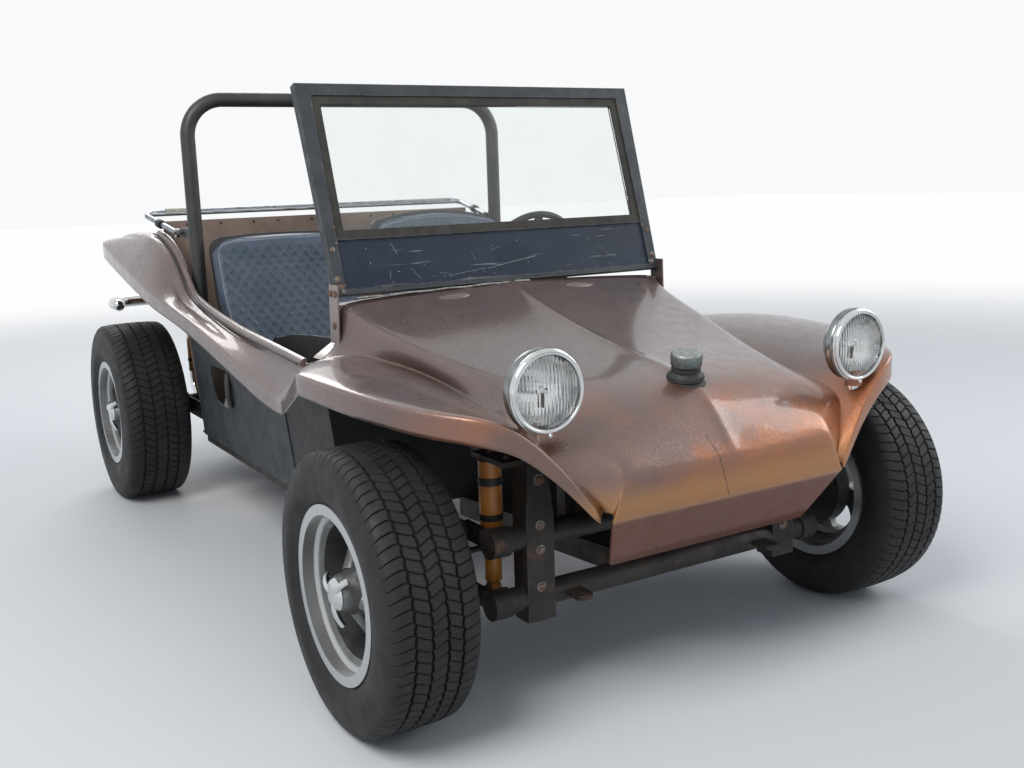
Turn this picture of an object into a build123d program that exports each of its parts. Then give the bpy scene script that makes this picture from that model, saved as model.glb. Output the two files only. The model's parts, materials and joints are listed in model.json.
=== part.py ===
from build123d import *
import math
import os

# A fibreglass dune buggy on a rear-engined donor floor pan.
# Millimetres. +Z is up, +Y points to the rear, +X is the car's left side.
# The origin is on the ground, in the middle of the overall length.

# Running gear
wheelbase = 2400
front_axle_y = -1300
rear_axle_y = front_axle_y + wheelbase
rim_flange_r = 208.5
rim_wall = 7
front_tyre_r = 332
front_tyre_width = 229
front_rim_outer_x = 848
rear_tyre_r = 357
rear_tyre_width = 257
rear_rim_outer_x = 829
tyre_proud = 12
slot_count = 5
slot_r = 34
slot_pitch_r = 118
spindle_r = 16
running_clearance = 0.05
seat_gap = 0.3

# Body moulding
skin = 8
joint_gap = 1
nose_y = -1700
nose_half_width = 352
shoulder_x = 670
bulkhead_y = 700
bulkhead_plate = 6
tail_y = 1440

# Tub: slanted outer walls on the floor pan
floor_z = 306
floor_half_width = 560
floor_plate = 6
floor_front_y = -700
floor_rear_y = 740
tub_bottom_z = 300
tub_flare = 0.107
tub_wall = 4
tub_lap = 30
panel_front_y = -320
hatch_place = (325, 246)
hatch_size = (230, 140)
hatch_corner = 40
rail_width = 40
rail_height = 30
trim_gap = 4
trim_plate = 6
dash_y = -727.7
dash_depth = 56

# Windscreen
screen_foot_y = -726
screen_foot_z = 947
screen_slant = 606
screen_rake = 17.7
screen_half_width_low = 558
screen_half_width_top = 572
screen_frame_depth = 30
screen_panel_low = 14
screen_panel_top = 153
screen_panel_set_back = 6
screen_panel_plate = 3
glass_half_width = 502
glass_low = 181
glass_top = 546
glass_thickness = 5
seal_width = 26
seal_set_back = 4
seal_depth = 16
strap_plate = 4
strap_y = -747
strap_width = 60

# Roll hoop and folding bow
hoop_y = 400
hoop_half_width = 614
hoop_r = 25
hoop_top_z = 1550
hoop_foot_z = 791.3
hoop_bend = 130
bow_pivot_y = 500
bow_pivot_z = 1090
bow_pivot_x = 652
bow_corner_x = 687
bow_corner_y = 850
bow_corner_z = 1158
bow_r = 10
bow_eye = 14
bow_pin_r = 6

# Seats
seat_x = 312
seat_base_width = 436
seat_back_width = 540
seat_corner = 50
seat_wall = 6

# Steering
kingpin_x = 575
kingpin_r = 12
knuckle_reach = 43
column_x = 290
column_angle = 24
column_r = 11
wheel_hub_y = -370
wheel_hub_z = 965
steering_rim_r = 175
steering_grip_r = 11
box_z = 516
track_rod_y = -1180
pedal_x = (170, 260, 360)

# Front lamps and filler
lamp_x = 472
lamp_y = -1635
lamp_z = 803
lamp_stalk_x = 500
lamp_stalk_y = -1600
filler_y = -1520
filler_hole_r = 44
filler_neck_r = 26
filler_cap_r = 38
filler_boot_z = 770
tank_top_z = 690

# Front suspension
front_beam_y = -1433
beam_heights = (270, 420)
beam_r = 30
beam_half = 466
tower_depth = 60
arm_x = 496
shock_x = 455
shock_y = -1350
tow_eye_y = -1505
tow_eye_r = 8
front_dish = 12.5
front_spindle_end = 740

# Rear axle, engine and bumper
rear_dish = 26.5
rear_spindle_end = 720
torsion_y = 790
engine_front_y = 1231
engine_rear_y = 1540
crank_z = 360
cylinder_y = (1325, 1445)
fin_count = 7
fin_pitch = 16
shroud_y = 1330
head_top_z = 415
head_low_z = 289
intake_y = 1462
port_y = 1450
muffler_y = 1622
muffler_z = 296
stand_y = 1510
axle_tube_r = 34
shock_bar_y = 1170
bell_r = 150
shock_bar_z = 640
shock_bar_half = 462
rear_shock_x = 448
pulley_r = 86
generator_z = 620
filter_x = 132
bumper_y = 1674.5
bumper_half = 670
bumper_top_z = 750
bumper_r = 25.5
stay_x = 330
stay_drop = 67
saddle_height = 44
plate_hole_r = 3.5

os.makedirs("parts", exist_ok=True)
parts = {}


def loop_points(points, wall):
    """Close an open line of 2-D points into a strip of even thickness, to its right."""
    count = len(points)
    inner = []
    for i in range(count):
        before = points[max(i - 1, 0)]
        here = points[i]
        after = points[min(i + 1, count - 1)]
        first = (here[0] - before[0], here[1] - before[1]) if i else (after[0] - here[0], after[1] - here[1])
        last = (after[0] - here[0], after[1] - here[1]) if i < count - 1 else first
        n1 = math.hypot(*first)
        n2 = math.hypot(*last)
        normal_1 = (first[1] / n1, -first[0] / n1)
        normal_2 = (last[1] / n2, -last[0] / n2)
        bisector = (normal_1[0] + normal_2[0], normal_1[1] + normal_2[1])
        size = bisector[0] ** 2 + bisector[1] ** 2
        reach = 2 * wall / size
        inner.append((here[0] + bisector[0] * reach, here[1] + bisector[1] * reach))
    return list(points) + inner[::-1]


def mirrored(piece):
    """The same piece on the other side of the car."""
    return mirror(piece, about=Plane.YZ)


def bent_tube(points, tube_r, bend_r, bore_r=0):
    """A round tube along straight runs joined by arcs."""
    with BuildPart() as tube:
        with BuildLine() as path:
            if len(points) > 2:
                FilletPolyline(*points, radius=bend_r)
            else:
                Line(*points)
        start = Plane(origin=path.line @ 0, z_dir=path.line % 0)
        with BuildSketch(start):
            Circle(tube_r)
            if bore_r:
                Circle(bore_r, mode=Mode.SUBTRACT)
        sweep(path=path.line)
    return tube.part


# Body side, from the nose corner to the tail, right-hand side.
# Each row is one upright section: the inner top point, a fold part of the way across, the outer crease,
# the lip's depth, the depth of the inner edge, and 1 where that edge rolls in to lap over the tub wall.
# Columns: inner x, inner y, inner z, fold share, fold z, crease x, crease y, crease z, lip, inner depth, meets tub
front_fender_rows = [
    (642, -700, 765, 0.5, 706, 722, -680, 660, 36, 60, 1),
    (619, -728, 774, 0.5, 792, 793, -1010, 795, 54, 34, 0),
    (560, -800, 796, 0.5, 810, 797, -1050, 800, 54, 30, 0),
    (490, -950, 778, 0.5, 799, 785, -1250, 795, 58, 24, 0),
    (458, -1090, 756, 0.5, 785, 755, -1400, 786, 58, 20, 0),
    (450, -1222, 733, 0.5, 767, 708, -1510, 772, 58, 20, 0),
    (455, -1340, 714, 0.5, 754, 650, -1600, 768, 60, 20, 0),
    (466, -1440, 704, 0.5, 740, 600, -1632, 755, 60, 18, 0),
    (470, -1540, 690, 0.5, 717, 550, -1646, 730, 54, 18, 0),
    (455, -1600, 655, 0.5, 666, 484, -1656, 668, 46, 18, 0),
    (410, -1640, 598, 0.5, 604, 430, -1670, 604, 36, 18, 0),
    (352, -1664, 524, 0.5, 525, 374, -1684, 520, 20, 18, 0),
]
side_sill_rows = [
    (642, -699, 765, 0.5, 706, 722, -679, 660, 36, 60, 1),
    (642, -500, 779, 0.5, 725, 722, -490, 682, 46, 60, 1),
    (642, -330, 790, 0.5, 751, 723, -310, 724, 52, 60, 1),
    (642, -140, 803, 0.5, 782, 729, -130, 770, 62, 60, 1),
    (642, 130, 834, 0.5, 824, 744, 130, 824, 50, 60, 1),
    (642, 330, 870, 0.5, 861, 764, 330, 862, 50, 60, 0),
]
rear_fender_rows = [
    (642, 330.3, 870, 0.5, 861, 764, 330.3, 862, 50, 60, 0),
    (644, 385, 922, 0.48, 912, 768, 400, 872, 50, 97, 0),
    (646, 450, 990, 0.46, 973, 773, 460, 884, 50, 165, 0),
    (648, 550, 1050, 0.45, 1032, 778, 550, 903, 50, 225, 0),
    (652, 660, 1078, 0.45, 1066, 782, 700, 937, 50, 253, 0),
    (656, 800, 1086, 0.45, 1075, 782, 880, 975, 52, 60, 0),
    (660, 1000, 1084, 0.45, 1071, 780, 1110, 1022, 54, 60, 0),
    (655, 1200, 1062, 0.45, 1052, 770, 1270, 1046, 56, 60, 0),
    (620, 1390, 1038, 0.45, 1031, 690, 1450, 1030, 56, 50, 0),
    (590, 1426, 1004, 0.45, 997, 640, 1470, 990, 50, 40, 0),
]


def tub_wall_x(z):
    """Outside of the slanted tub wall at a height."""
    return floor_half_width + (z - tub_bottom_z) * tub_flare


def side_moulding(rows):
    """Loft the right-hand body side through upright sections."""
    with BuildPart() as moulding:
        for inner_x, inner_y, inner_z, fold, fold_z, crease_x, crease_y, crease_z, lip, inner_drop, meets_tub in rows:
            run_x = inner_x - crease_x
            run_y = crease_y - inner_y
            width = math.hypot(run_x, run_y)
            section = Plane(
                origin=(-inner_x, inner_y, 0),
                x_dir=(run_x, run_y, 0),
                z_dir=Vector(run_x, run_y, 0).cross(Vector(0, 0, 1)),
            )
            roll_z = inner_z - inner_drop
            foot_z = roll_z - tub_lap
            roll_s = (tub_wall_x(roll_z) + seat_gap - inner_x) * meets_tub - (1 - meets_tub)
            foot_s = (tub_wall_x(foot_z) + seat_gap - inner_x) * meets_tub
            line = [(foot_s, foot_z), (roll_s, roll_z), (0, inner_z), (width * fold, fold_z)]
            line += [(width, crease_z), (width, crease_z - lip)]
            with BuildSketch(section):
                with BuildLine():
                    Polyline(*loop_points(line, skin), close=True)
                make_face()
        loft(ruled=True)
    return moulding.part


def both_sides(piece):
    """One node out of a right-hand piece and its mirror image."""
    with BuildPart() as pair:
        add(piece)
        mirror(about=Plane.YZ)
    return pair.part


front_fender = side_moulding(front_fender_rows)
parts["front_fenders"] = both_sides(front_fender)
parts["side_sills"] = both_sides(side_moulding(side_sill_rows))
parts["rear_fenders"] = both_sides(side_moulding(rear_fender_rows))

# Hood, sections across the car.
# Columns: y, centre z, edge half-width, edge z, side half-width, side z, foot half-width, foot z
hood_rows = [
    (-728, 945, 553, 923, 562, 812, 619, 774),
    (-800, 915, 530, 888, 541, 818, 560, 796),
    (-950, 868, 500, 850, 504, 806, 490, 778),
    (-1090, 834, 470, 818, 478, 786, 458, 756),
    (-1222, 808, 430, 790, 448, 762, 450, 733),
    (-1340, 791, 395, 770, 425, 744, 455, 714),
    (-1440, 777, 368, 752, 418, 730, 466, 704),
    (-1540, 757, 345, 722, 410, 708, 470, 690),
    (-1600, 720, 325, 688, 395, 676, 455, 655),
    (-1640, 682, 318, 664, 372, 644, 410, 598),
    (-1688, 620, 312, 628, 332, 598, 348, 524),
]


def hood_section(centre_z, edge_x, edge_z, side_x, side_z, foot_x, foot_z):
    """Outer line of one hood section, from the right foot over the top to the left foot."""
    quarter_x = edge_x * 0.55
    quarter_z = centre_z - (centre_z - edge_z) * 0.35
    half = [(foot_x - joint_gap, foot_z), (side_x, side_z), (edge_x, edge_z), (quarter_x, quarter_z)]
    right = [(-x, z) for x, z in half]
    left = [(x, z) for x, z in reversed(half)]
    return right + [(0, centre_z)] + left


# The nose is the hood's upright front face and the chin that slopes back under it.
with BuildPart() as nose:
    with BuildSketch(Plane.YZ):
        with BuildLine():
            Polyline(*loop_points([(-1610, 372), (nose_y, 508), (nose_y + 3, 625)], skin + 2), close=True)
        make_face()
    extrude(amount=nose_half_width, both=True)
    with BuildSketch(Plane.XZ):
        with BuildLine():
            Polyline(
                (-300, 360), (300, 360), (nose_half_width - 1, 508), (312, 626), (-312, 626),
                (1 - nose_half_width, 508), close=True,
            )
        make_face()
    extrude(amount=-nose_y * 2, both=True, mode=Mode.INTERSECT)

with BuildPart() as hood:
    for y, *shape in hood_rows:
        with BuildSketch(Plane(origin=(0, y, 0), x_dir=(1, 0, 0), z_dir=(0, -1, 0))):
            with BuildLine():
                Polyline(*loop_points(hood_section(*shape), skin), close=True)
            make_face()
    loft(ruled=True)
    with BuildSketch(Plane.XY.offset(filler_boot_z - 100)):
        with Locations((0, filler_y)):
            Circle(filler_hole_r)
    extrude(amount=200, mode=Mode.SUBTRACT)
    add(nose.part)
parts["hood"] = hood.part

# Rear deck between the shoulders, and its tail lip.
# Columns: half-width, y
deck_edge = [(653, bulkhead_y + bulkhead_plate + seat_gap), (656, 800), (660, 1000), (655, 1200), (620, 1390), (588, 1424), (566, tail_y)]
with BuildPart() as deck:
    with BuildSketch(Plane.YZ):
        with BuildLine():
            Polyline(
                *loop_points(
                    [
                        (bulkhead_y + bulkhead_plate + seat_gap, 1046), (800, 1060), (1000, 1062), (1200, 1042), (1390, 1014),
                        (tail_y - 2, 985), (tail_y - 2, 905),
                    ],
                    skin,
                ),
                close=True,
            )
        make_face()
    extrude(amount=shoulder_x, both=True)
    with BuildSketch(Plane.XY):
        with BuildLine():
            Polyline(
                *[(-x + 1.6, y) for x, y in deck_edge],
                *[(x - 1.6, y) for x, y in reversed(deck_edge)],
                close=True,
            )
        make_face()
    extrude(amount=hoop_top_z, mode=Mode.INTERSECT)
parts["rear_deck"] = deck.part

# Bulkhead behind the seats.
with BuildPart() as bulkhead:
    with BuildSketch(Plane.XZ.offset(-bulkhead_y)):
        with BuildLine():
            Polyline(
                (-554, floor_z + seat_gap), (554, floor_z + seat_gap), (600, 770), (646, 860), (651, 1040), (646, 1128),
                (-646, 1128), (-651, 1040), (-646, 860), (-600, 770), close=True,
            )
        make_face()
    extrude(amount=-bulkhead_plate)
parts["rear_bulkhead"] = bulkhead.part

# Tub walls: the slanted side panels with their hatches, the footwell ahead of them and the toe board.
panel_plane = Plane(
    origin=(-floor_half_width, 0, tub_bottom_z),
    x_dir=(0, 1, 0),
    z_dir=Vector(0, 1, 0).cross(Vector(-tub_flare, 0, 1)),
)
with BuildPart() as wall:
    with BuildSketch(panel_plane):
        with BuildLine():
            Polyline(
                (panel_front_y, 0), (bulkhead_y - 1, 0), (bulkhead_y - 90, 490), (330, 490), (130, 460), (0, 444),
                (-180, 428), (panel_front_y, 417), close=True,
            )
        make_face()
        with Locations(hatch_place):
            RectangleRounded(*hatch_size, hatch_corner, mode=Mode.SUBTRACT)
    extrude(amount=tub_wall)
    with BuildSketch(Plane.XY.offset(tub_bottom_z + 487)):
        with BuildLine():
            Polyline((-606, 170), (-641, 340), (-641, bulkhead_y - 90), (-606, bulkhead_y - 90), close=True)
        make_face()
    extrude(amount=tub_wall)
    mirror(about=Plane.YZ)
parts["tub_walls"] = wall.part

# Footwell walls and toe board, ahead of the side panels and set in from them.
with BuildPart() as footwell:
    with BuildSketch(panel_plane.offset(tub_wall)):
        with BuildLine():
            Polyline(
                (floor_front_y, 8), (panel_front_y + 20, 8), (panel_front_y + 20, 410), (floor_front_y, 388), close=True
            )
        make_face()
    extrude(amount=tub_wall)
    with BuildSketch(Plane.XZ.offset(-floor_front_y)):
        with BuildLine():
            Polyline(
                (0, floor_z + seat_gap), (-tub_wall_x(floor_z) + tub_wall, floor_z + seat_gap),
                (-tub_wall_x(690) + 2, 690), (0, 740), close=True,
            )
        make_face()
    extrude(amount=-tub_wall)
    mirror(about=Plane.YZ)
parts["footwell_walls"] = footwell.part

# Inner side trims beside the footwell, with a rounded rear top corner.
with BuildPart() as trim:
    with BuildSketch(Plane.YZ.offset(-seat_x - seat_base_width / 2 - trim_gap - trim_plate)):
        with BuildLine():
            Polyline((-640, 818), (-640, floor_z + seat_gap), (-100, floor_z + seat_gap), (-100, 705))
            ThreePointArc((-100, 705), (-122, 756), (-170, 769))
            Polyline((-170, 769), (-308, 794), (-467, 808), (-640, 818))
        make_face()
    extrude(amount=trim_plate)
parts["side_trims"] = both_sides(trim.part)

# Floor pan with its tunnel, lower rails and the frame head that carries the front beam.
with BuildPart() as pan:
    with BuildSketch(Plane.XY.offset(floor_z - floor_plate)):
        Rectangle(2 * (floor_half_width - tub_wall - seat_gap), 1)
        with Locations((0, (floor_front_y + floor_rear_y) / 2)):
            Rectangle(2 * (floor_half_width - tub_wall - seat_gap), floor_rear_y - floor_front_y)
    extrude(amount=floor_plate)
    with BuildSketch(Plane.XZ.offset(-bulkhead_y + 1)):
        with BuildLine():
            Polyline((-80, floor_z), (-64, 390), (-40, 408), (40, 408), (64, 390), (80, floor_z), close=True)
        make_face()
        with BuildLine():
            Polyline((-72, floor_z), (-57, 385), (-37, 401), (37, 401), (57, 385), (72, floor_z), close=True)
        make_face(mode=Mode.SUBTRACT)
    extrude(amount=bulkhead_y - floor_front_y - 6)
    with BuildSketch(Plane.XY.offset(floor_z - rail_height - floor_plate)):
        with Locations((-530, 180), (530, 180)):
            Rectangle(rail_width, 1040)
    extrude(amount=rail_height)
    with BuildSketch(Plane.XY.offset(floor_z - 66)):
        with BuildLine():
            Polyline(
                (-180, floor_front_y + 20), (-95, front_beam_y + beam_r + 0.5), (95, front_beam_y + beam_r + 0.5),
                (180, floor_front_y + 20), close=True,
            )
        make_face()
    extrude(amount=60)
    with Locations((0, front_beam_y + beam_r + 6.5, 350)):
        Box(150, 12, 210)
parts["floor_pan"] = pan.part

# Dashboard: the ledge under the windscreen and the instrument face.
column_dash_z = wheel_hub_z + (dash_y + dash_depth - skin / 2 - wheel_hub_y) * math.tan(math.radians(column_angle))
dash_section = hood_section(937.5, 549, 919, 561, 812, 618, 776)
with BuildPart() as dash:
    with BuildSketch(Plane.XZ.offset(-dash_y)):
        with BuildLine():
            Polyline(*loop_points(dash_section, skin), close=True)
        make_face()
    extrude(amount=-dash_depth)
    with BuildSketch(Plane.XZ.offset(-dash_y - dash_depth + skin)):
        with BuildLine():
            Polyline(*dash_section, (531, 650), (-531, 650), close=True)
        make_face()
        with Locations((column_x, column_dash_z)):
            Circle(27.5, mode=Mode.SUBTRACT)
    extrude(amount=-skin)
parts["dashboard"] = dash.part

# Windscreen, drawn in its own leaning plane: X across, Y up the slope, Z forward.
lean = math.radians(screen_rake)
screen = Plane(
    origin=(0, screen_foot_y, screen_foot_z),
    x_dir=(1, 0, 0),
    z_dir=(0, -math.cos(lean), math.sin(lean)),
)
glass_mid = (glass_low + glass_top) / 2
glass_height = glass_top - glass_low
panel_mid = (screen_panel_low + screen_panel_top) / 2
panel_height = screen_panel_top - screen_panel_low
with BuildPart() as frame:
    with BuildSketch(screen):
        with BuildLine():
            Polyline(
                (-screen_half_width_low, 0), (screen_half_width_low, 0),
                (screen_half_width_top, screen_slant), (-screen_half_width_top, screen_slant), close=True,
            )
        make_face()
        with Locations((0, glass_mid)):
            Rectangle(2 * (glass_half_width + seal_width), glass_height + 2 * seal_width, mode=Mode.SUBTRACT)
        with Locations((0, panel_mid)):
            Rectangle(2 * (glass_half_width + seal_width), panel_height, mode=Mode.SUBTRACT)
    extrude(amount=-screen_frame_depth)
parts["windscreen_frame"] = frame.part

with BuildPart() as lower_panel:
    with BuildSketch(screen.offset(-screen_panel_set_back)):
        with Locations((0, panel_mid)):
            Rectangle(2 * (glass_half_width + seal_width - seat_gap), panel_height - 2 * seat_gap)
    extrude(amount=-screen_panel_plate)
parts["windscreen_panel"] = lower_panel.part

with BuildPart() as seal:
    with BuildSketch(screen.offset(-seal_set_back)):
        with Locations((0, glass_mid)):
            Rectangle(
                2 * (glass_half_width + seal_width - seat_gap), glass_height + 2 * (seal_width - seat_gap)
            )
            Rectangle(2 * glass_half_width, glass_height, mode=Mode.SUBTRACT)
    extrude(amount=-seal_depth)
parts["windscreen_seal"] = seal.part

with BuildPart() as glass:
    with BuildSketch(screen.offset(-seal_set_back - (seal_depth - glass_thickness) / 2)):
        with Locations((0, glass_mid)):
            Rectangle(2 * (glass_half_width - seat_gap), glass_height - 2 * seat_gap)
    extrude(amount=-glass_thickness)
parts["windscreen_glass"] = glass.part

# Straps that hold the windscreen's posts to the sides of the cowl.
strap_line = [(-563.2, 815), (-559.2, 975)]
with BuildPart() as straps:
    with BuildSketch(Plane.XZ.offset(-strap_y - strap_width)):
        with BuildLine():
            Polyline(*loop_points(strap_line, -strap_plate), close=True)
        make_face()
    extrude(amount=strap_width)
parts["windscreen_straps"] = both_sides(straps.part)

# Roll hoop with its foot plates and the brackets and pins that carry the folding bow.
hoop_tube = bent_tube(
    [
        (-hoop_half_width, hoop_y, hoop_foot_z + 4),
        (-hoop_half_width, hoop_y, hoop_top_z),
        (hoop_half_width, hoop_y, hoop_top_z),
        (hoop_half_width, hoop_y, hoop_foot_z + 4),
    ],
    hoop_r,
    hoop_bend,
)
with BuildPart() as hoop:
    add(hoop_tube)
    for side in (-1, 1):
        with Locations((side * hoop_half_width, hoop_y, hoop_foot_z + 4)):
            Box(2 * hoop_r, 110, 8)
        with Locations((side * 631, (hoop_y + bow_pivot_y + 14) / 2, bow_pivot_z)):
            Box(8, bow_pivot_y + 14 - hoop_y, 36)
        with Locations((side * (631 + bow_pivot_x + 12) / 2, bow_pivot_y, bow_pivot_z)):
            Cylinder(bow_pin_r, bow_pivot_x + 12 - 631, rotation=(0, 90, 0))
parts["roll_hoop"] = hoop.part

# Folding bow of the soft top, laid back behind the hoop.
bow_tube = bent_tube(
    [
        (-bow_pivot_x, bow_pivot_y + 10, bow_pivot_z + 2),
        (-bow_corner_x, bow_corner_y, bow_corner_z),
        (bow_corner_x, bow_corner_y, bow_corner_z),
        (bow_pivot_x, bow_pivot_y + 10, bow_pivot_z + 2),
    ],
    bow_r,
    60,
)
with BuildPart() as bow:
    add(bow_tube)
    for side in (-1, 1):
        with Locations((side * bow_pivot_x, bow_pivot_y, bow_pivot_z)):
            Cylinder(16, bow_eye, rotation=(0, 90, 0))
            Cylinder(bow_pin_r + running_clearance, 3 * bow_eye, rotation=(0, 90, 0), mode=Mode.SUBTRACT)
parts["top_bow"] = bow.part

# Seats: a moulded shell on two side stands, wider at the back, and the quilted pads in it.
shell_line = [(-300, 470), (-290, 436), (150, 418), (215, 470), (386, 1140)]
side_line = [(-300, 470), (-290, 430), (150, 412), (218, 465), (264, 640), (190, 640), (40, 560), (-200, 530)]
pad_back = loop_points(shell_line, -seat_gap)[len(shell_line):]
pad_line = pad_back + [(-285, 540), (-200, 560), (110, 545), (160, 580), (328, 1140)]


def seat_outline(corner_z, crown_z, inset):
    """Front view of one seat, its back wider than its base and its top corners rounded."""
    base = seat_base_width / 2 - inset
    back = seat_back_width / 2 - inset
    top = corner_z - inset
    turn = back - seat_corner
    bend = seat_corner * 0.29
    with BuildSketch(Plane.XZ) as outline:
        with BuildLine():
            Polyline(
                (-back, top - seat_corner), (-back, 860), (inset - 262, 800), (-base, 640), (-base, 400),
                (base, 400), (base, 640), (262 - inset, 800), (back, 860), (back, top - seat_corner),
            )
            ThreePointArc((back, top - seat_corner), (back - bend, top - bend), (turn, top))
            ThreePointArc((turn, top), (0, crown_z - inset), (-turn, top))
            ThreePointArc((-turn, top), (bend - back, top - bend), (-back, top - seat_corner))
        make_face()
    return outline.sketch


# Columns: seat centre x, top corner z, crown z
seat_table = [(-seat_x, 1074, 1081), (seat_x, 1108, 1132)]
with BuildPart() as shells:
    for centre_x, corner_z, crown_z in seat_table:
        with BuildPart(mode=Mode.PRIVATE) as shell:
            with BuildSketch(Plane.YZ):
                with BuildLine():
                    Polyline(*loop_points(shell_line, seat_wall), close=True)
                make_face()
            extrude(amount=seat_back_width, both=True)
            extrude(seat_outline(corner_z, crown_z, 0), amount=500, both=True, mode=Mode.INTERSECT)
            for side in (-1, 1):
                with BuildSketch(Plane.YZ.offset(side * (seat_base_width - seat_wall) / 2 - seat_wall / 2)):
                    with BuildLine():
                        Polyline(*side_line, close=True)
                    make_face()
                extrude(amount=seat_wall)
                with Locations((side * 150, -70, (floor_z + seat_gap + 416) / 2)):
                    Box(30, 260, 416 - floor_z - seat_gap)
        add(Pos(centre_x, 0, 0) * shell.part)
parts["seat_shells"] = shells.part
with BuildPart() as pads:
    for centre_x, corner_z, crown_z in seat_table:
        with BuildPart(mode=Mode.PRIVATE) as pad:
            with BuildSketch(Plane.YZ):
                with BuildLine():
                    Polyline(*pad_line, close=True)
                make_face()
            extrude(amount=seat_back_width, both=True)
            extrude(seat_outline(corner_z, crown_z, seat_wall + seat_gap), amount=500, both=True, mode=Mode.INTERSECT)
        add(Pos(centre_x, 0, 0) * pad.part)
parts["seat_pads"] = pads.part

# Steering wheel on its slanted column, ahead of the left seat.
slope = math.radians(column_angle)
column_axis = Vector(0, math.cos(slope), math.sin(slope))
column_plane = Plane(origin=(column_x, wheel_hub_y, wheel_hub_z), x_dir=(1, 0, 0), z_dir=column_axis)
column_length = (wheel_hub_z - box_z) / math.sin(slope)
rim_plane = Plane(origin=column_plane.origin, x_dir=(1, 0, 0), z_dir=Vector(1, 0, 0).cross(column_axis))
with BuildPart() as steering_wheel:
    with BuildSketch(rim_plane):
        with Locations((steering_rim_r, 0)):
            Circle(steering_grip_r)
    revolve(axis=Axis(column_plane.origin, column_axis))
    with BuildSketch(column_plane.offset(-22)):
        Circle(34)
    extrude(amount=40)
    with BuildSketch(column_plane.offset(-3)):
        with PolarLocations(steering_rim_r / 2, 3, start_angle=30):
            Rectangle(steering_rim_r - 4, 30)
    extrude(amount=5)
    with BuildSketch(column_plane.offset(-23)):
        Circle(column_r + running_clearance)
    extrude(amount=30, mode=Mode.SUBTRACT)
parts["steering_wheel"] = steering_wheel.part

with BuildPart() as column:
    with BuildSketch(column_plane.offset(-column_length)):
        Circle(column_r)
    extrude(amount=column_length + 6)
    with BuildSketch(column_plane.offset(-30)):
        Circle(column_r + 12)
    extrude(amount=-220)
    with Locations((column_x, front_beam_y + 55, box_z - 13)):
        Box(90, 100, 105.4)
parts["steering_column"] = column.part

# Gear lever, handbrake and pedals on the floor pan.
with BuildPart() as controls:
    add(bent_tube([(0, -330, 410), (0, -320, 560), (0, -240, 730)], 6, 60))
    add(bent_tube([(0, -140, 410), (0, -120, 520), (0, 60, 560)], 9, 30))
    with Locations((0, -240, 735)):
        Sphere(22)
    with Locations((0, -330, 414), (0, -140, 414)):
        Box(60, 60, 11)
    for x in pedal_x:
        with Locations((x, -650, floor_z + 4 + seat_gap)):
            Box(50, 50, 8)
        add(bent_tube([(x, -650, floor_z + 6), (x, -662, 440), (x, -630, 470)], 6, 20))
        with Locations((x, -626, 474)):
            Box(60, 14, 70)
parts["floor_controls"] = controls.part

# Fuel tank under the hood, and its filler.
with BuildPart() as tank:
    with Locations(((236 - 330) / 2, -1285, (540 + tank_top_z) / 2)):
        Box(236 + 330, 520, tank_top_z - 540)
    with Locations(*[(x, y, 421) for x in (-60, 60) for y in (-1330, -1080)]):
        Box(30, 40, 2 * (421 - floor_z + 6 - seat_gap))
parts["fuel_tank"] = tank.part
with BuildPart() as boot:
    with Locations((0, filler_y, filler_boot_z)):
        Cylinder(filler_hole_r - seat_gap - 2, 60)
        Cylinder(filler_neck_r, 60, mode=Mode.SUBTRACT)
parts["filler_boot"] = boot.part
with BuildPart() as filler:
    with BuildSketch(Plane.XY.offset(tank_top_z + seat_gap)):
        with Locations((0, filler_y)):
            Circle(filler_neck_r - seat_gap)
    extrude(amount=filler_boot_z + 32 - tank_top_z)
    with BuildSketch(Plane.XY.offset(filler_boot_z + 30 + seat_gap)):
        with Locations((0, filler_y)):
            Circle(filler_cap_r)
    extrude(amount=26)
parts["filler_cap"] = filler.part

# Headlamps: bowl and stalk cut to the fender's top, and the lens in its rim.
with BuildPart() as stalks:
    with BuildSketch(Plane.XY.offset(640)):
        with Locations((-lamp_stalk_x, lamp_stalk_y)):
            Circle(22)
    extrude(amount=92)
    add(front_fender, mode=Mode.SUBTRACT)
stalk = stalks.part.solids().sort_by(Axis.Z)[-1]
bowl_line = [
    (0, 80), (34, 76), (60, 60), (80, 32), (88, 4), (88, -6), (80, -8), (80, 6), (73, 30), (54, 54), (30, 68), (0, 72),
]
lamp_plane = Plane(origin=(-lamp_x, lamp_y, lamp_z), x_dir=(1, 0, 0), z_dir=(0, 0, 1))
lamp_axis = Axis((-lamp_x, lamp_y, lamp_z), (0, 1, 0))
with BuildPart() as bowl:
    with BuildSketch(lamp_plane):
        with BuildLine():
            Polyline(*bowl_line, close=True)
        make_face()
    revolve(axis=lamp_axis)
    add(stalk)
parts["headlamps"] = both_sides(bowl.part)
with BuildPart() as lens:
    with BuildSketch(lamp_plane):
        with BuildLine():
            Line((0, 0), (0, -16))
            ThreePointArc((0, -16), (42, -12), (79.7, -3))
            Line((79.7, -3), (79.7, 0))
            Line((79.7, 0), (0, 0))
        make_face()
    revolve(axis=lamp_axis)
parts["headlamp_lenses"] = both_sides(lens.part)

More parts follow.
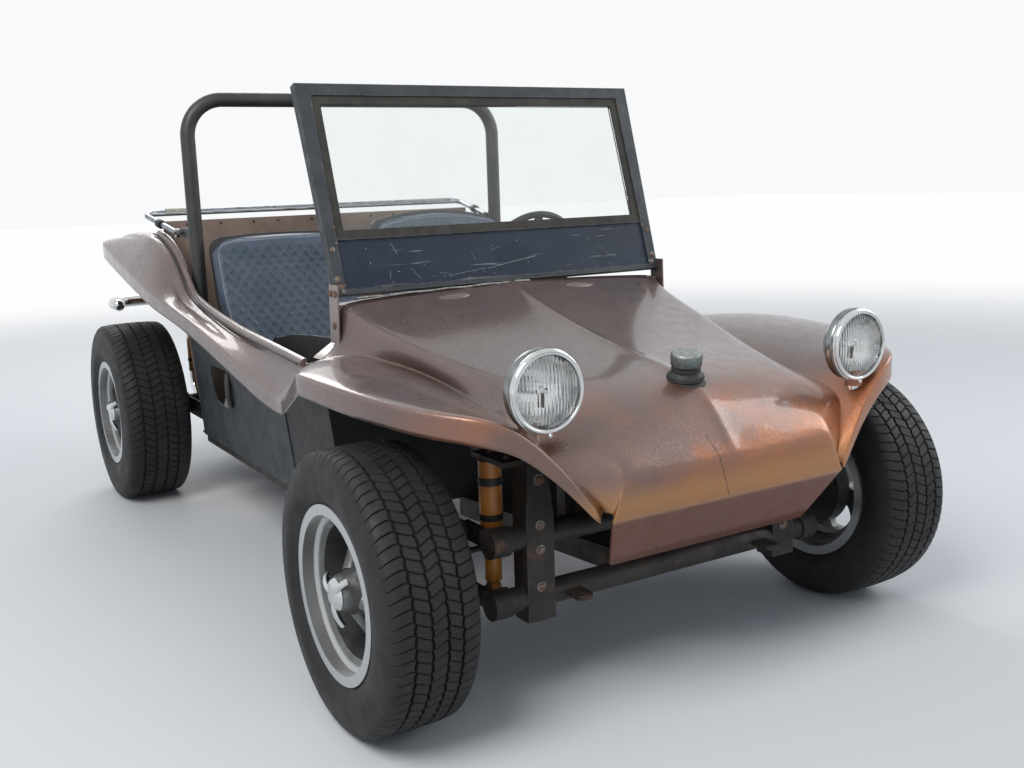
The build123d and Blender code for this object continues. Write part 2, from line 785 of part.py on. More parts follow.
# Front beam: two crosswise tubes held by the shock towers, and two eyes for a tow bar.
with BuildPart() as beam:
    for z in beam_heights:
        with Locations((0, front_beam_y, z)):
            Cylinder(beam_r, 2 * beam_half, rotation=(0, 90, 0))
    for side in (-1, 1):
        with BuildSketch(Plane.XZ.offset(-front_beam_y + tower_depth / 2)):
            with BuildLine():
                Polyline(
                    (side * 352, 215), (side * 428, 215), (side * 428, 470), (side * 418, 620), (side * 372, 620),
                    (side * 352, 470), close=True,
                )
            make_face()
        extrude(amount=-tower_depth)
        with Locations((side * 428, shock_y - 20, 602)):
            Box(92, 150, 12)
        with Locations((side * 300, (tow_eye_y + front_beam_y) / 2, beam_heights[0])):
            Box(44, front_beam_y - tow_eye_y, 12)
        with Locations((side * 300, tow_eye_y, beam_heights[0])):
            Cylinder(22, 12)
            Cylinder(tow_eye_r, 14, mode=Mode.SUBTRACT)
parts["front_beam"] = beam.part

# Trailing arms with the carriers of the steering pivots.
with BuildPart() as arms:
    hub_length = 2 * (arm_x - 5 - beam_half - seat_gap)
    for z in beam_heights:
        with Locations((arm_x - 5, front_beam_y, z)):
            Cylinder(36, hub_length, rotation=(0, 90, 0))
        with Locations((arm_x, (front_beam_y + front_axle_y) / 2, z)):
            Box(18, front_axle_y - front_beam_y, 42)
        with Locations((arm_x + 8, front_axle_y, z)):
            Cylinder(22, 34, rotation=(0, 90, 0))
    with BuildSketch(Plane.XZ.offset(-front_axle_y - 12)):
        with BuildLine():
            Polyline(
                (505, 245), (518, 245), (532, 292), (560, 292), (560, 372), (532, 372), (518, 445), (505, 445),
                close=True,
            )
        make_face()
    extrude(amount=24)
    with Locations((kingpin_x, front_axle_y, front_tyre_r)):
        Cylinder(22, 84)
        Cylinder(kingpin_r + running_clearance, 90, mode=Mode.SUBTRACT)
    with Locations(((467.5 + arm_x) / 2, shock_y, 280)):
        Cylinder(8, arm_x - 467.5, rotation=(0, 90, 0))
parts["front_arms"] = both_sides(arms.part)

# Knuckle: kingpin, yoke, spindle, backing plate and steering arm, left-hand side.
knuckle_x = kingpin_x + knuckle_reach
arm_eye_x = kingpin_x - 12
with BuildPart() as knuckle:
    with Locations((kingpin_x, front_axle_y, front_tyre_r)):
        Cylinder(kingpin_r, 140)
    for z in (front_tyre_r - 58.5, front_tyre_r + 58.5):
        with Locations((kingpin_x, front_axle_y, z)):
            Cylinder(22, 23)
        with Locations((kingpin_x + knuckle_reach / 2, front_axle_y, z)):
            Box(knuckle_reach, 40, 23)
    with Locations((knuckle_x - 7, front_axle_y, front_tyre_r)):
        Box(14, 44, 140)
    with Locations(((knuckle_x - 12 + front_spindle_end) / 2, front_axle_y, front_tyre_r)):
        Cylinder(spindle_r, front_spindle_end - knuckle_x + 12, rotation=(0, 90, 0))
    with Locations((knuckle_x + 12, front_axle_y, front_tyre_r)):
        Cylinder(30, 26, rotation=(0, 90, 0))
    with Locations((knuckle_x + 23, front_axle_y, front_tyre_r)):
        Cylinder(116, 4, rotation=(0, 90, 0))
    with BuildSketch(Plane.XY.offset(296)):
        with BuildLine():
            Polyline(
                (knuckle_x - 14, front_axle_y), (knuckle_x, front_axle_y), (knuckle_x, front_axle_y + 24),
                (arm_eye_x + 13, track_rod_y + 4), (arm_eye_x, track_rod_y + 14), (arm_eye_x - 13, track_rod_y),
                (knuckle_x - 14, front_axle_y + 20), close=True,
            )
        make_face()
    extrude(amount=12)
parts["front_knuckle_left"] = knuckle.part
parts["front_knuckle_right"] = mirrored(knuckle.part)

# Track rod that joins the two steering arms, its ends resting over their eyes.
with BuildPart() as track_rod:
    with Locations((0, track_rod_y, 317)):
        Cylinder(8, 2 * arm_eye_x, rotation=(0, 90, 0))
    with Locations((-arm_eye_x, track_rod_y, 315), (arm_eye_x, track_rod_y, 315)):
        Cylinder(13, 13.4)
parts["track_rod"] = track_rod.part

# Front shock absorbers between the towers and the lower arms.
with BuildPart() as shocks:
    with Locations((shock_x, shock_y, 505)):
        Cylinder(28, 181.4)
    with Locations((shock_x, shock_y, 365)):
        Cylinder(21, 130)
    with Locations((shock_x, shock_y, 280)):
        Cylinder(17, 24, rotation=(0, 90, 0))
        Cylinder(10, 40)
parts["shock_absorbers"] = both_sides(shocks.part)


def tyre_and_rim(tyre_r, tyre_width, rim_half, dish, spindle_reach):
    """A tyre, its slotted wheel and its spinner about the X axis, outer face towards +X."""
    half = tyre_width / 2
    bead_r = rim_flange_r - 18
    bead_x = rim_half - rim_wall - 0.4
    outer = [(bead_x, bead_r + seat_gap), (bead_x, rim_flange_r + 1), (half - 3, 244), (half, 268), (half - 10, tyre_r - 14)]
    outer += [(half - 34, tyre_r - 2)]
    inner = [(half - 28, tyre_r - 22), (half - 16, 262), (bead_x - 18, bead_r + seat_gap)]
    profile = [(-x, r) for x, r in outer] + [(0, tyre_r)] + [(x, r) for x, r in reversed(outer)]
    profile += [(x, r) for x, r in reversed(inner)] + [(-x, r) for x, r in inner]
    with BuildPart() as tyre:
        with BuildSketch(Plane.XY):
            with BuildLine():
                Polyline(*profile, close=True)
            make_face()
        revolve(axis=Axis.X)
    drop_r = bead_r - 26
    barrel = [(rim_half, rim_flange_r), (rim_half - rim_wall, rim_flange_r), (rim_half - rim_wall, bead_r)]
    barrel += [(rim_half - 32, bead_r), (rim_half - 48, drop_r)]
    bore = [(rim_half - 45, drop_r - rim_wall), (rim_half - 29, bead_r - rim_wall), (rim_half, bead_r - rim_wall)]
    barrel_line = [(-x, r) for x, r in barrel] + [(x, r) for x, r in reversed(barrel)]
    barrel_line += [(x, r) for x, r in reversed(bore)] + [(-x, r) for x, r in bore]
    disc_r = drop_r - rim_wall + 1
    disc_line = [(dish - 34, disc_r), (dish, 70), (dish + 6, 62), (dish + 6, 0), (dish - 26, 0), (dish - 26, 60)]
    disc_line += [(dish - 50, disc_r)]
    drum_line = [(dish - 26, 0), (dish - 26, 58), (dish - 60, 66), (dish - 60, 118), (dish - 106, 118)]
    drum_line += [(dish - 106, 112), (dish - 66, 112), (dish - 66, 40), (dish - 90, 34), (dish - 90, 0)]
    with BuildPart() as rim:
        with BuildSketch(Plane.XY):
            with BuildLine():
                Polyline(*barrel_line, close=True)
            make_face()
            with BuildLine():
                Polyline(*disc_line, close=True)
            make_face()
            with BuildLine():
                Polyline(*drum_line, close=True)
            make_face()
        revolve(axis=Axis.X)
        with BuildSketch(Plane.YZ.offset(dish - 58)):
            with PolarLocations(slot_pitch_r, slot_count, start_angle=90):
                RectangleRounded(2 * slot_r, 84, slot_r - 4)
        extrude(amount=60, mode=Mode.SUBTRACT)
        with BuildSketch(Plane.YZ.offset(dish - 120)):
            Circle(spindle_r + running_clearance)
        extrude(amount=spindle_reach + seat_gap - dish + 120, mode=Mode.SUBTRACT)
    with BuildPart() as spinner:
        with BuildSketch(Plane.YZ.offset(dish + 6 + seat_gap)):
            Circle(46)
        extrude(amount=50, taper=20)
        with BuildSketch(Plane.YZ.offset(dish + 10)):
            with PolarLocations(44, 3, start_angle=20):
                RectangleRounded(56, 20, 8)
        extrude(amount=18, taper=8)
    return tyre.part, rim.part, spinner.part


# Columns: place, tyre radius, tyre width, rim outer x, dish, axle y, spindle end
wheel_table = [
    ("front", front_tyre_r, front_tyre_width, front_rim_outer_x, front_dish, front_axle_y, front_spindle_end),
    ("rear", rear_tyre_r, rear_tyre_width, rear_rim_outer_x, rear_dish, rear_axle_y, rear_spindle_end),
]
for place, tyre_r, tyre_width, rim_outer, dish, axle_y, spindle_end in wheel_table:
    centre_x = rim_outer + tyre_proud - tyre_width / 2
    pieces = tyre_and_rim(tyre_r, tyre_width, rim_outer - centre_x, dish, spindle_end - centre_x)
    for kind, piece in zip(("tyre", "rim", "spinner"), pieces):
        left = Pos(centre_x, axle_y, tyre_r) * piece
        parts[f"{place}_{kind}_left"] = left
        parts[f"{place}_{kind}_right"] = mirrored(left)

# Rear axle: torsion tube, spring plates, axle tubes, backing plates and the transaxle casting.
with BuildPart() as rear_axle:
    with Locations((0, torsion_y, rear_tyre_r - 10)):
        Cylinder(44, 2 * 500, rotation=(0, 90, 0))
    for side in (-1, 1):
        with Locations((side * 506, torsion_y, rear_tyre_r - 10)):
            Cylinder(60, 14, rotation=(0, 90, 0))
        with Locations((side * 508, (torsion_y + rear_axle_y) / 2, rear_tyre_r - 5)):
            Box(8, rear_axle_y - torsion_y, 70)
        with Locations((side * (rear_spindle_end + 100) / 2, rear_axle_y, rear_tyre_r)):
            Cylinder(spindle_r, rear_spindle_end - 100, rotation=(0, 90, 0))
        with Locations((side * 320, rear_axle_y, rear_tyre_r)):
            Cylinder(34, 440, rotation=(0, 90, 0))
        with Locations((side * 565, rear_axle_y, rear_tyre_r)):
            Cylinder(42, 116, rotation=(0, 90, 0))
        with Locations((side * 621, rear_axle_y, rear_tyre_r)):
            Cylinder(116, 4, rotation=(0, 90, 0))
    with Locations((0, (torsion_y + 1140) / 2, rear_tyre_r)):
        Cylinder(96, 1140 - torsion_y, rotation=(90, 0, 0))
    with Locations((0, (1130 + engine_front_y - seat_gap) / 2, rear_tyre_r + 8)):
        Cylinder(bell_r, engine_front_y - seat_gap - 1130, rotation=(90, 0, 0))
    for side in (-1, 1):
        with Locations((side * 215, (torsion_y + 1190) / 2, rear_tyre_r - 10)):
            Box(40, 1190 - torsion_y, 56)
        with Locations((side * 90, shock_bar_y, rear_tyre_r + 190)):
            Box(30, 40, 200)
    with Locations((0, shock_bar_y, rear_tyre_r - 10)):
        Box(470, 40, 50)
    with Locations((0, shock_bar_y, shock_bar_z)):
        Cylinder(18, 2 * shock_bar_half, rotation=(0, 90, 0))
    with BuildSketch(Plane.XY.offset(rear_tyre_r - 70)):
        with BuildLine():
            Polyline((-60, floor_rear_y + seat_gap), (60, floor_rear_y + seat_gap), (90, torsion_y + 20), (-90, torsion_y + 20), close=True)
        make_face()
    extrude(amount=90)
parts["rear_axle"] = rear_axle.part

# Rear shock absorbers, hung on the crosswise bar and standing on the axle tubes.
rod_lean = math.atan2(shock_bar_y - rear_axle_y, shock_bar_z - 150 - rear_tyre_r)
rod_reach = axle_tube_r + seat_gap
with BuildPart() as rear_shocks:
    with Locations((rear_shock_x, shock_bar_y, shock_bar_z)):
        Cylinder(24, 24, rotation=(0, 90, 0))
    with Locations((rear_shock_x, shock_bar_y, shock_bar_z - 92)):
        Cylinder(27, 140)
    with Locations((rear_shock_x, shock_bar_y, shock_bar_z)):
        Cylinder(18 + seat_gap, 60, rotation=(0, 90, 0), mode=Mode.SUBTRACT)
    rod_end_y = rear_axle_y + rod_reach * math.sin(rod_lean)
    rod_end_z = rear_tyre_r + rod_reach * math.cos(rod_lean)
    add(bent_tube([(rear_shock_x, shock_bar_y, shock_bar_z - 150), (rear_shock_x, rod_end_y, rod_end_z)], 18, 10))
parts["rear_shocks"] = both_sides(rear_shocks.part)

# Engine: crankcase, four finned cylinders, pushrod tubes, heads with rocker covers, and grooved pulley.
with BuildPart() as engine:
    engine_mid_y = (engine_front_y + engine_rear_y) / 2
    with Locations((0, engine_mid_y, crank_z)):
        Box(180, engine_rear_y - engine_front_y, 240)
    for side in (-1, 1):
        for y in cylinder_y:
            with Locations((side * 150, y, crank_z)):
                Cylinder(46, 130, rotation=(0, 90, 0))
            for k in range(fin_count):
                with Locations((side * (100 + k * fin_pitch), y, crank_z)):
                    Cylinder(58, 5, rotation=(0, 90, 0))
            for offset in (-22, 22):
                with Locations((side * 150, y + offset, crank_z - 78)):
                    Cylinder(9, 140, rotation=(0, 90, 0))
        with Locations((side * 245, engine_mid_y, (head_top_z + head_low_z) / 2)):
            Box(70, 260, head_top_z - head_low_z)
        with BuildSketch(Plane.XZ.offset(-engine_mid_y - 112)):
            with BuildLine():
                Polyline(
                    (side * 279, crank_z - 72), (side * 310, crank_z - 62), (side * 322, crank_z - 30),
                    (side * 322, crank_z + 6), (side * 310, crank_z + 30), (side * 279, crank_z + 40), close=True,
                )
            make_face()
        extrude(amount=224)
    with Locations((0, engine_rear_y + 16, crank_z)):
        Cylinder(pulley_r - 9, 22, rotation=(90, 0, 0))
    with Locations((0, engine_rear_y + 8, crank_z), (0, engine_rear_y + 24, crank_z)):
        Cylinder(pulley_r, 6, rotation=(90, 0, 0))
    with Locations((0, engine_rear_y, crank_z)):
        Cylinder(20, 64, rotation=(90, 0, 0))
    with Locations((72, 1500, crank_z + 150)):
        Cylinder(18, 64)
    with Locations((72, 1500, crank_z + 196)):
        Cylinder(30, 34)
parts["engine"] = engine.part

# Fan shroud with its round cooling-air mouth, the generator on its stand and the fan belt's upper pulley.
shroud_half = [
    (60, 424), (120, 396), (156, 320), (160, 250), (214, 196), (270, 150), (270, 66), (180, 66), (180, 120.3),
]
with BuildPart() as shroud:
    with BuildSketch(Plane.XZ.offset(-shroud_y)):
        with BuildLine():
            Polyline(
                *[(-x, crank_z + z) for x, z in reversed(shroud_half)],
                *[(x, crank_z + z) for x, z in shroud_half],
                close=True,
            )
        make_face()
    extrude(amount=-110)
    with BuildSketch(Plane.XZ.offset(-shroud_y)):
        with Locations((0, generator_z)):
            Circle(96)
    extrude(amount=-18, mode=Mode.SUBTRACT)
    with Locations((0, shroud_y + 110, generator_z)):
        Cylinder(48, 210, rotation=(90, 0, 0))
    with Locations((0, engine_rear_y + 16, generator_z)):
        Cylinder(42, 22, rotation=(90, 0, 0))
    with Locations((0, engine_rear_y + 8, generator_z), (0, engine_rear_y + 24, generator_z)):
        Cylinder(50, 6, rotation=(90, 0, 0))
    with Locations((0, engine_rear_y - 4, generator_z)):
        Cylinder(12, 30, rotation=(90, 0, 0))
    with Locations((0, stand_y, (crank_z + 120 + seat_gap + generator_z) / 2)):
        Box(64, 50, generator_z - crank_z - 120 - seat_gap)
parts["engine_shroud"] = shroud.part

# Carburettor with its round air filter, on the crosswise intake pipe.
with BuildPart() as carburettor:
    add(
        bent_tube(
            [
                (-246, intake_y, head_top_z + seat_gap), (-246, intake_y, crank_z + 110), (-200, intake_y, crank_z + 158),
                (200, intake_y, crank_z + 158), (246, intake_y, crank_z + 110), (246, intake_y, head_top_z + seat_gap),
            ],
            13, 22,
        )
    )
    with Locations((-filter_x, 1500, crank_z + 205)):
        Box(56, 72, 100)
    with Locations((-filter_x, 1505, crank_z + 284)):
        Cylinder(60, 62)
    with Locations((-filter_x, 1505, crank_z + 318)):
        Cylinder(52, 10)
parts["carburettor"] = carburettor.part

# Muffler across the rear with two short outlets.
with BuildPart() as exhaust:
    with Locations((0, muffler_y, muffler_z)):
        Cylinder(48, 520, rotation=(0, 90, 0))
    for side in (-1, 1):
        add(
            bent_tube(
                [
                    (side * 245, port_y, head_low_z - seat_gap), (side * 245, port_y, muffler_z - 52),
                    (side * 245, muffler_y - 10, muffler_z - 38),
                ],
                18, 36,
            )
        )
        add(bent_tube([(side * 120, muffler_y, muffler_z), (side * 120, muffler_y + 74, muffler_z - 10)], 15, 10))
parts["exhaust"] = exhaust.part

# Rear bumper: wrapped crosswise tube, two stays clamped under the axle tubes, and the plate bracket.
with BuildPart() as bumper:
    add(
        bent_tube(
            [
                (-bumper_half, bumper_y - 170, bumper_top_z), (-bumper_half, bumper_y, bumper_top_z),
                (bumper_half, bumper_y, bumper_top_z), (bumper_half, bumper_y - 170, bumper_top_z),
            ],
            bumper_r, 90,
        )
    )
    for side in (-1, 1):
        add(
            bent_tube(
                [
                    (side * stay_x, bumper_y, bumper_top_z), (side * stay_x, bumper_y - 20, rear_tyre_r - stay_drop),
                    (side * stay_x, rear_axle_y - 30, rear_tyre_r - stay_drop),
                ],
                16, 80,
            )
        )
        with Locations((side * stay_x, rear_axle_y, rear_tyre_r - stay_drop + 18)):
            Box(34, 40, saddle_height)
        with Locations((side * stay_x, rear_axle_y, rear_tyre_r)):
            Cylinder(34 + seat_gap, 60, rotation=(0, 90, 0), mode=Mode.SUBTRACT)
    with Locations((0, bumper_y + bumper_r - 2, bumper_top_z - 84)):
        Box(210, 4, 150)
    with Locations(*[(x, bumper_y + bumper_r - 2, bumper_top_z - 90 + z) for x in (-89, 89) for z in (-60.5, 60.5)]):
        Cylinder(plate_hole_r, 8, rotation=(90, 0, 0), mode=Mode.SUBTRACT)
parts["rear_bumper"] = bumper.part

# Round tail lamps on the deck's tail face.
with BuildPart() as tail_lamps:
    with Locations((-430, tail_y + 10, 944), (430, tail_y + 10, 944)):
        Cylinder(38, 23.4, rotation=(90, 0, 0))
parts["tail_lamps"] = tail_lamps.part

for name, part in parts.items():
    part.label = name
    export_step(part, f"parts/{name}.step")
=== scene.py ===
import bpy, bmesh, json, math, random
from mathutils import Matrix, Vector
from mathutils.bvhtree import BVHTree


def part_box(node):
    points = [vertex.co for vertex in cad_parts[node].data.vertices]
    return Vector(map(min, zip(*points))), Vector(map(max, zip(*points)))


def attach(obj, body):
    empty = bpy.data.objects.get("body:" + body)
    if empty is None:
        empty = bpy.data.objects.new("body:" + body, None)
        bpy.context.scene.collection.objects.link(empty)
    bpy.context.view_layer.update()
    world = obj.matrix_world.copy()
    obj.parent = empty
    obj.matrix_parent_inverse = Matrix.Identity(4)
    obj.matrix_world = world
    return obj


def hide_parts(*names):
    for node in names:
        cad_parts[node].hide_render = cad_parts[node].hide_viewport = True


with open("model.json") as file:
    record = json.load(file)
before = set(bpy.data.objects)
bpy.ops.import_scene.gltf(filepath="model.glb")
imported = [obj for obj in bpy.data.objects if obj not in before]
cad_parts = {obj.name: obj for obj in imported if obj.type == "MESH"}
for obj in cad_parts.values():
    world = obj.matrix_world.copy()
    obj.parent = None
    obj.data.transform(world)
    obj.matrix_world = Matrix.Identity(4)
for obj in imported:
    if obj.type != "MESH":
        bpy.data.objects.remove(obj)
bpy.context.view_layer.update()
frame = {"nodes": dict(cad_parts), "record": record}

view = bpy.context.scene
view.view_settings.view_transform = "Standard"
print("frame loaded,", len(frame["nodes"]), "nodes")

# camera, fitted to the photograph
shot = {"place": (-1.7133, -3.5464, 1.2462), "yaw": 31.157, "pitch": 10.555, "roll": -1.866, "lens": 38.84}
yaw, pitch, roll = (math.radians(shot[key]) for key in ("yaw", "pitch", "roll"))
ahead = Vector((math.sin(yaw) * math.cos(pitch), math.cos(yaw) * math.cos(pitch), -math.sin(pitch)))
across = Vector((math.cos(yaw), -math.sin(yaw), 0))
upward = across.cross(ahead)
camRight = across * math.cos(roll) + upward * math.sin(roll)
camUp = upward * math.cos(roll) - across * math.sin(roll)
camData = bpy.data.cameras.new("camera")
camData.lens = shot["lens"]
camera = bpy.data.objects.new("camera", camData)
view.collection.objects.link(camera)
camera.matrix_world = Matrix((camRight, camUp, -ahead)).transposed().to_4x4()
camera.matrix_world.translation = shot["place"]
view.camera = camera

# soft boxes over a pale floor
lamps = {
    "keyLight": {"place": (-3.6, -2.6, 4.6), "size": 3.2, "power": 190},
    "fillLight": {"place": (5.0, -2.4, 3.4), "size": 3.5, "power": 95},
    "backLight": {"place": (0.5, 5.0, 4.2), "size": 3.5, "power": 130},
}
for name, lamp in lamps.items():
    data = bpy.data.lights.new(name, "AREA")
    data.shape = "DISK"
    data.size = lamp["size"]
    data.energy = lamp["power"]
    light = bpy.data.objects.new(name, data)
    view.collection.objects.link(light)
    light.location = lamp["place"]
    light.rotation_euler = (Vector((0, 0, 0.5)) - light.location).to_track_quat("-Z", "Y").to_euler()
    light.visible_camera = False
    light.visible_transmission = False


def addNode(tree, kind, **values):
    made = tree.nodes.new("ShaderNode" + kind)
    for key, value in values.items():
        setattr(made, key, value)
    return made


def feed(tree, socket, value):
    if isinstance(value, bpy.types.NodeSocket):
        tree.links.new(value, socket)
    elif isinstance(value, tuple) and len(value) == 3 and socket.type == "RGBA":
        socket.default_value = (*value, 1)
    else:
        socket.default_value = value


def calc(tree, operation, *values, clamp=False):
    made = addNode(tree, "Math", operation=operation, use_clamp=clamp)
    for socket, value in zip(made.inputs, values):
        feed(tree, socket, value)
    return made.outputs[0]


def ramp(tree, value, low, high, start=0.0, end=1.0):
    made = addNode(tree, "MapRange", interpolation_type="SMOOTHSTEP")
    for socket, item in zip(made.inputs, (value, low, high, start, end)):
        feed(tree, socket, item)
    return made.outputs[0]


def mixColor(tree, factor, first, second):
    made = addNode(tree, "Mix", data_type="RGBA")
    feed(tree, made.inputs[0], factor)
    feed(tree, made.inputs[6], first)
    feed(tree, made.inputs[7], second)
    return made.outputs[2]


def noiseAt(tree, vector, scale, detail=3.0, roughness=0.55):
    made = addNode(tree, "TexNoise")
    for label, value in (("Vector", vector), ("Scale", scale), ("Detail", detail), ("Roughness", roughness)):
        feed(tree, made.inputs[label], value)
    return made.outputs["Fac"]


def times(tree, *values, clamp=False):
    made = values[0]
    for value in values[1:]:
        made = calc(tree, "MULTIPLY", made, value, clamp=clamp)
    return made


def restOf(tree, value):
    return calc(tree, "SUBTRACT", 1.0, value)


def vectorCalc(tree, operation, *values):
    made = addNode(tree, "VectorMath", operation=operation)
    for socket, value in zip(made.inputs, values):
        if value is not None:
            feed(tree, socket, value)
    return made.outputs["Value" if operation in ("DOT_PRODUCT", "LENGTH") else "Vector"]


def objectPlace(tree):
    return addNode(tree, "TexCoord").outputs["Object"]


def surfaceNormal(tree):
    return addNode(tree, "NewGeometry").outputs["Normal"]


def split(tree, vector):
    made = addNode(tree, "SeparateXYZ")
    tree.links.new(vector, made.inputs[0])
    return made.outputs


def newGroup(name, takes, gives):
    tree = bpy.data.node_groups.new(name, "ShaderNodeTree")
    for label, kind, start in takes:
        socket = tree.interface.new_socket(label, in_out="INPUT", socket_type="NodeSocket" + kind)
        if start is not None:
            socket.default_value = start
    for label, kind in gives:
        tree.interface.new_socket(label, in_out="OUTPUT", socket_type="NodeSocket" + kind)
    return tree, tree.nodes.new("NodeGroupInput").outputs, tree.nodes.new("NodeGroupOutput").inputs


def useGroup(tree, group, **values):
    made = addNode(tree, "Group", node_tree=group)
    for label, value in values.items():
        feed(tree, made.inputs[label], value)
    return made.outputs


# soft clouds of tone
clouds, takes, gives = newGroup(
    "tone clouds",
    [("Vector", "Vector", None), ("Scale", "Float", 3.0), ("Low", "Float", 0.35), ("High", "Float", 0.65)],
    [("Mask", "Float")],
)
cloudNoise = noiseAt(clouds, takes["Vector"], takes["Scale"], 6.0, 0.6)
clouds.links.new(ramp(clouds, cloudNoise, takes["Low"], takes["High"]), gives["Mask"])

# bare edges where the finish rubs through; on the body paint this edge colour is a painted highlight along edges and
# creases
edgeWearAndHighlightGroup, takes, gives = newGroup(
    "edge wear",
    [("Vector", "Vector", None), ("Radius", "Float", 0.004), ("Amount", "Float", 0.5), ("Scale", "Float", 45.0)],
    [("Mask", "Float")],
)
rounded = addNode(edgeWearAndHighlightGroup, "Bevel", samples=4)
feed(edgeWearAndHighlightGroup, rounded.inputs["Radius"], takes["Radius"])
facing = vectorCalc(edgeWearAndHighlightGroup, "DOT_PRODUCT", rounded.outputs["Normal"], surfaceNormal(edgeWearAndHighlightGroup))
atEdge = calc(edgeWearAndHighlightGroup, "SUBTRACT", 1.0, facing, clamp=True)
broken = ramp(edgeWearAndHighlightGroup, noiseAt(edgeWearAndHighlightGroup, takes["Vector"], takes["Scale"], 4.0), 0.38, 0.62)
edgeWearAndHighlightGroup.links.new(times(edgeWearAndHighlightGroup, atEdge, 9.0, broken, takes["Amount"], clamp=True), gives["Mask"])

# dust settled on what faces up
dustFilm, takes, gives = newGroup(
    "dust film",
    [("Vector", "Vector", None), ("Amount", "Float", 0.3), ("Scale", "Float", 6.0)],
    [("Mask", "Float")],
)
settled = ramp(dustFilm, split(dustFilm, surfaceNormal(dustFilm))["Z"], -0.1, 0.95, 0.25, 1.0)
patchy = ramp(dustFilm, noiseAt(dustFilm, takes["Vector"], takes["Scale"], 8.0, 0.65), 0.3, 0.75, 0.15, 1.0)
dustFilm.links.new(times(dustFilm, settled, patchy, takes["Amount"], clamp=True), gives["Mask"])

# flakes in the paint: each cell leans its own way
flakes, takes, gives = newGroup(
    "paint flakes",
    [("Vector", "Vector", None), ("Scale", "Float", 1500.0), ("Lean", "Float", 0.25)],
    [("Normal", "Vector"), ("Spark", "Float")],
)
cells = addNode(flakes, "TexVoronoi")
feed(flakes, cells.inputs["Vector"], takes["Vector"])
feed(flakes, cells.inputs["Scale"], takes["Scale"])
centred = vectorCalc(flakes, "SUBTRACT", cells.outputs["Color"], (0.5, 0.5, 0.5))
leaned = vectorCalc(flakes, "SCALE", centred, None, None, takes["Lean"])
tilted = vectorCalc(flakes, "ADD", leaned, surfaceNormal(flakes))
flakes.links.new(vectorCalc(flakes, "NORMALIZE", tilted), gives["Normal"])
cellShades = addNode(flakes, "SeparateColor")
flakes.links.new(cells.outputs["Color"], cellShades.inputs[0])
flakes.links.new(cellShades.outputs[0], gives["Spark"])

# thin scratches in one direction
scratches, takes, gives = newGroup(
    "scratches",
    [("Vector", "Vector", None), ("Stretch", "Vector", (3.0, 60.0, 60.0)), ("Amount", "Float", 0.5)],
    [("Mask", "Float")],
)
drawn = vectorCalc(scratches, "MULTIPLY", takes["Vector"], takes["Stretch"])
lines = ramp(scratches, noiseAt(scratches, drawn, 1.0, 2.0), 0.64, 0.68)
sparse = ramp(scratches, noiseAt(scratches, takes["Vector"], 7.0, 2.0), 0.48, 0.6)
scratches.links.new(times(scratches, lines, sparse, takes["Amount"], clamp=True), gives["Mask"])

# rust: where it sits and its colour
rustBloom, takes, gives = newGroup(
    "rust bloom",
    [("Vector", "Vector", None), ("Amount", "Float", 0.5), ("Scale", "Float", 14.0)],
    [("Mask", "Float"), ("Color", "Color")],
)
coarse = noiseAt(rustBloom, takes["Vector"], takes["Scale"], 8.0, 0.7)
level = calc(rustBloom, "SUBTRACT", 0.85, times(rustBloom, takes["Amount"], 0.6))
low, high = calc(rustBloom, "SUBTRACT", level, 0.12), calc(rustBloom, "ADD", level, 0.08)
rustBloom.links.new(ramp(rustBloom, coarse, low, high), gives["Mask"])
fineRust = ramp(rustBloom, noiseAt(rustBloom, takes["Vector"], 90.0, 6.0, 0.7), 0.3, 0.7)
rustBloom.links.new(mixColor(rustBloom, fineRust, (0.045, 0.022, 0.014), (0.19, 0.075, 0.03)), gives["Color"])

# grain: cast, leather or moulded skin
skinGrain, takes, gives = newGroup(
    "skin grain", [("Vector", "Vector", None), ("Scale", "Float", 500.0)], [("Height", "Float")]
)
pebble = addNode(skinGrain, "TexVoronoi", feature="SMOOTH_F1")
feed(skinGrain, pebble.inputs["Vector"], takes["Vector"])
feed(skinGrain, pebble.inputs["Scale"], takes["Scale"])
mottled = noiseAt(skinGrain, takes["Vector"], times(skinGrain, takes["Scale"], 0.4), 4.0)
skinGrain.links.new(calc(skinGrain, "ADD", pebble.outputs["Distance"], mottled), gives["Height"])


def bumpFrom(tree, height, distance, normal=None):
    made = addNode(tree, "Bump")
    made.inputs["Strength"].default_value = 1.0
    made.inputs["Distance"].default_value = distance
    tree.links.new(height, made.inputs["Height"])
    if normal:
        tree.links.new(normal, made.inputs["Normal"])
    return made.outputs["Normal"]


def newMaterial(name):
    material = bpy.data.materials.new(name)
    material.use_nodes = True
    return material, material.node_tree, material.node_tree.nodes["Principled BSDF"].inputs


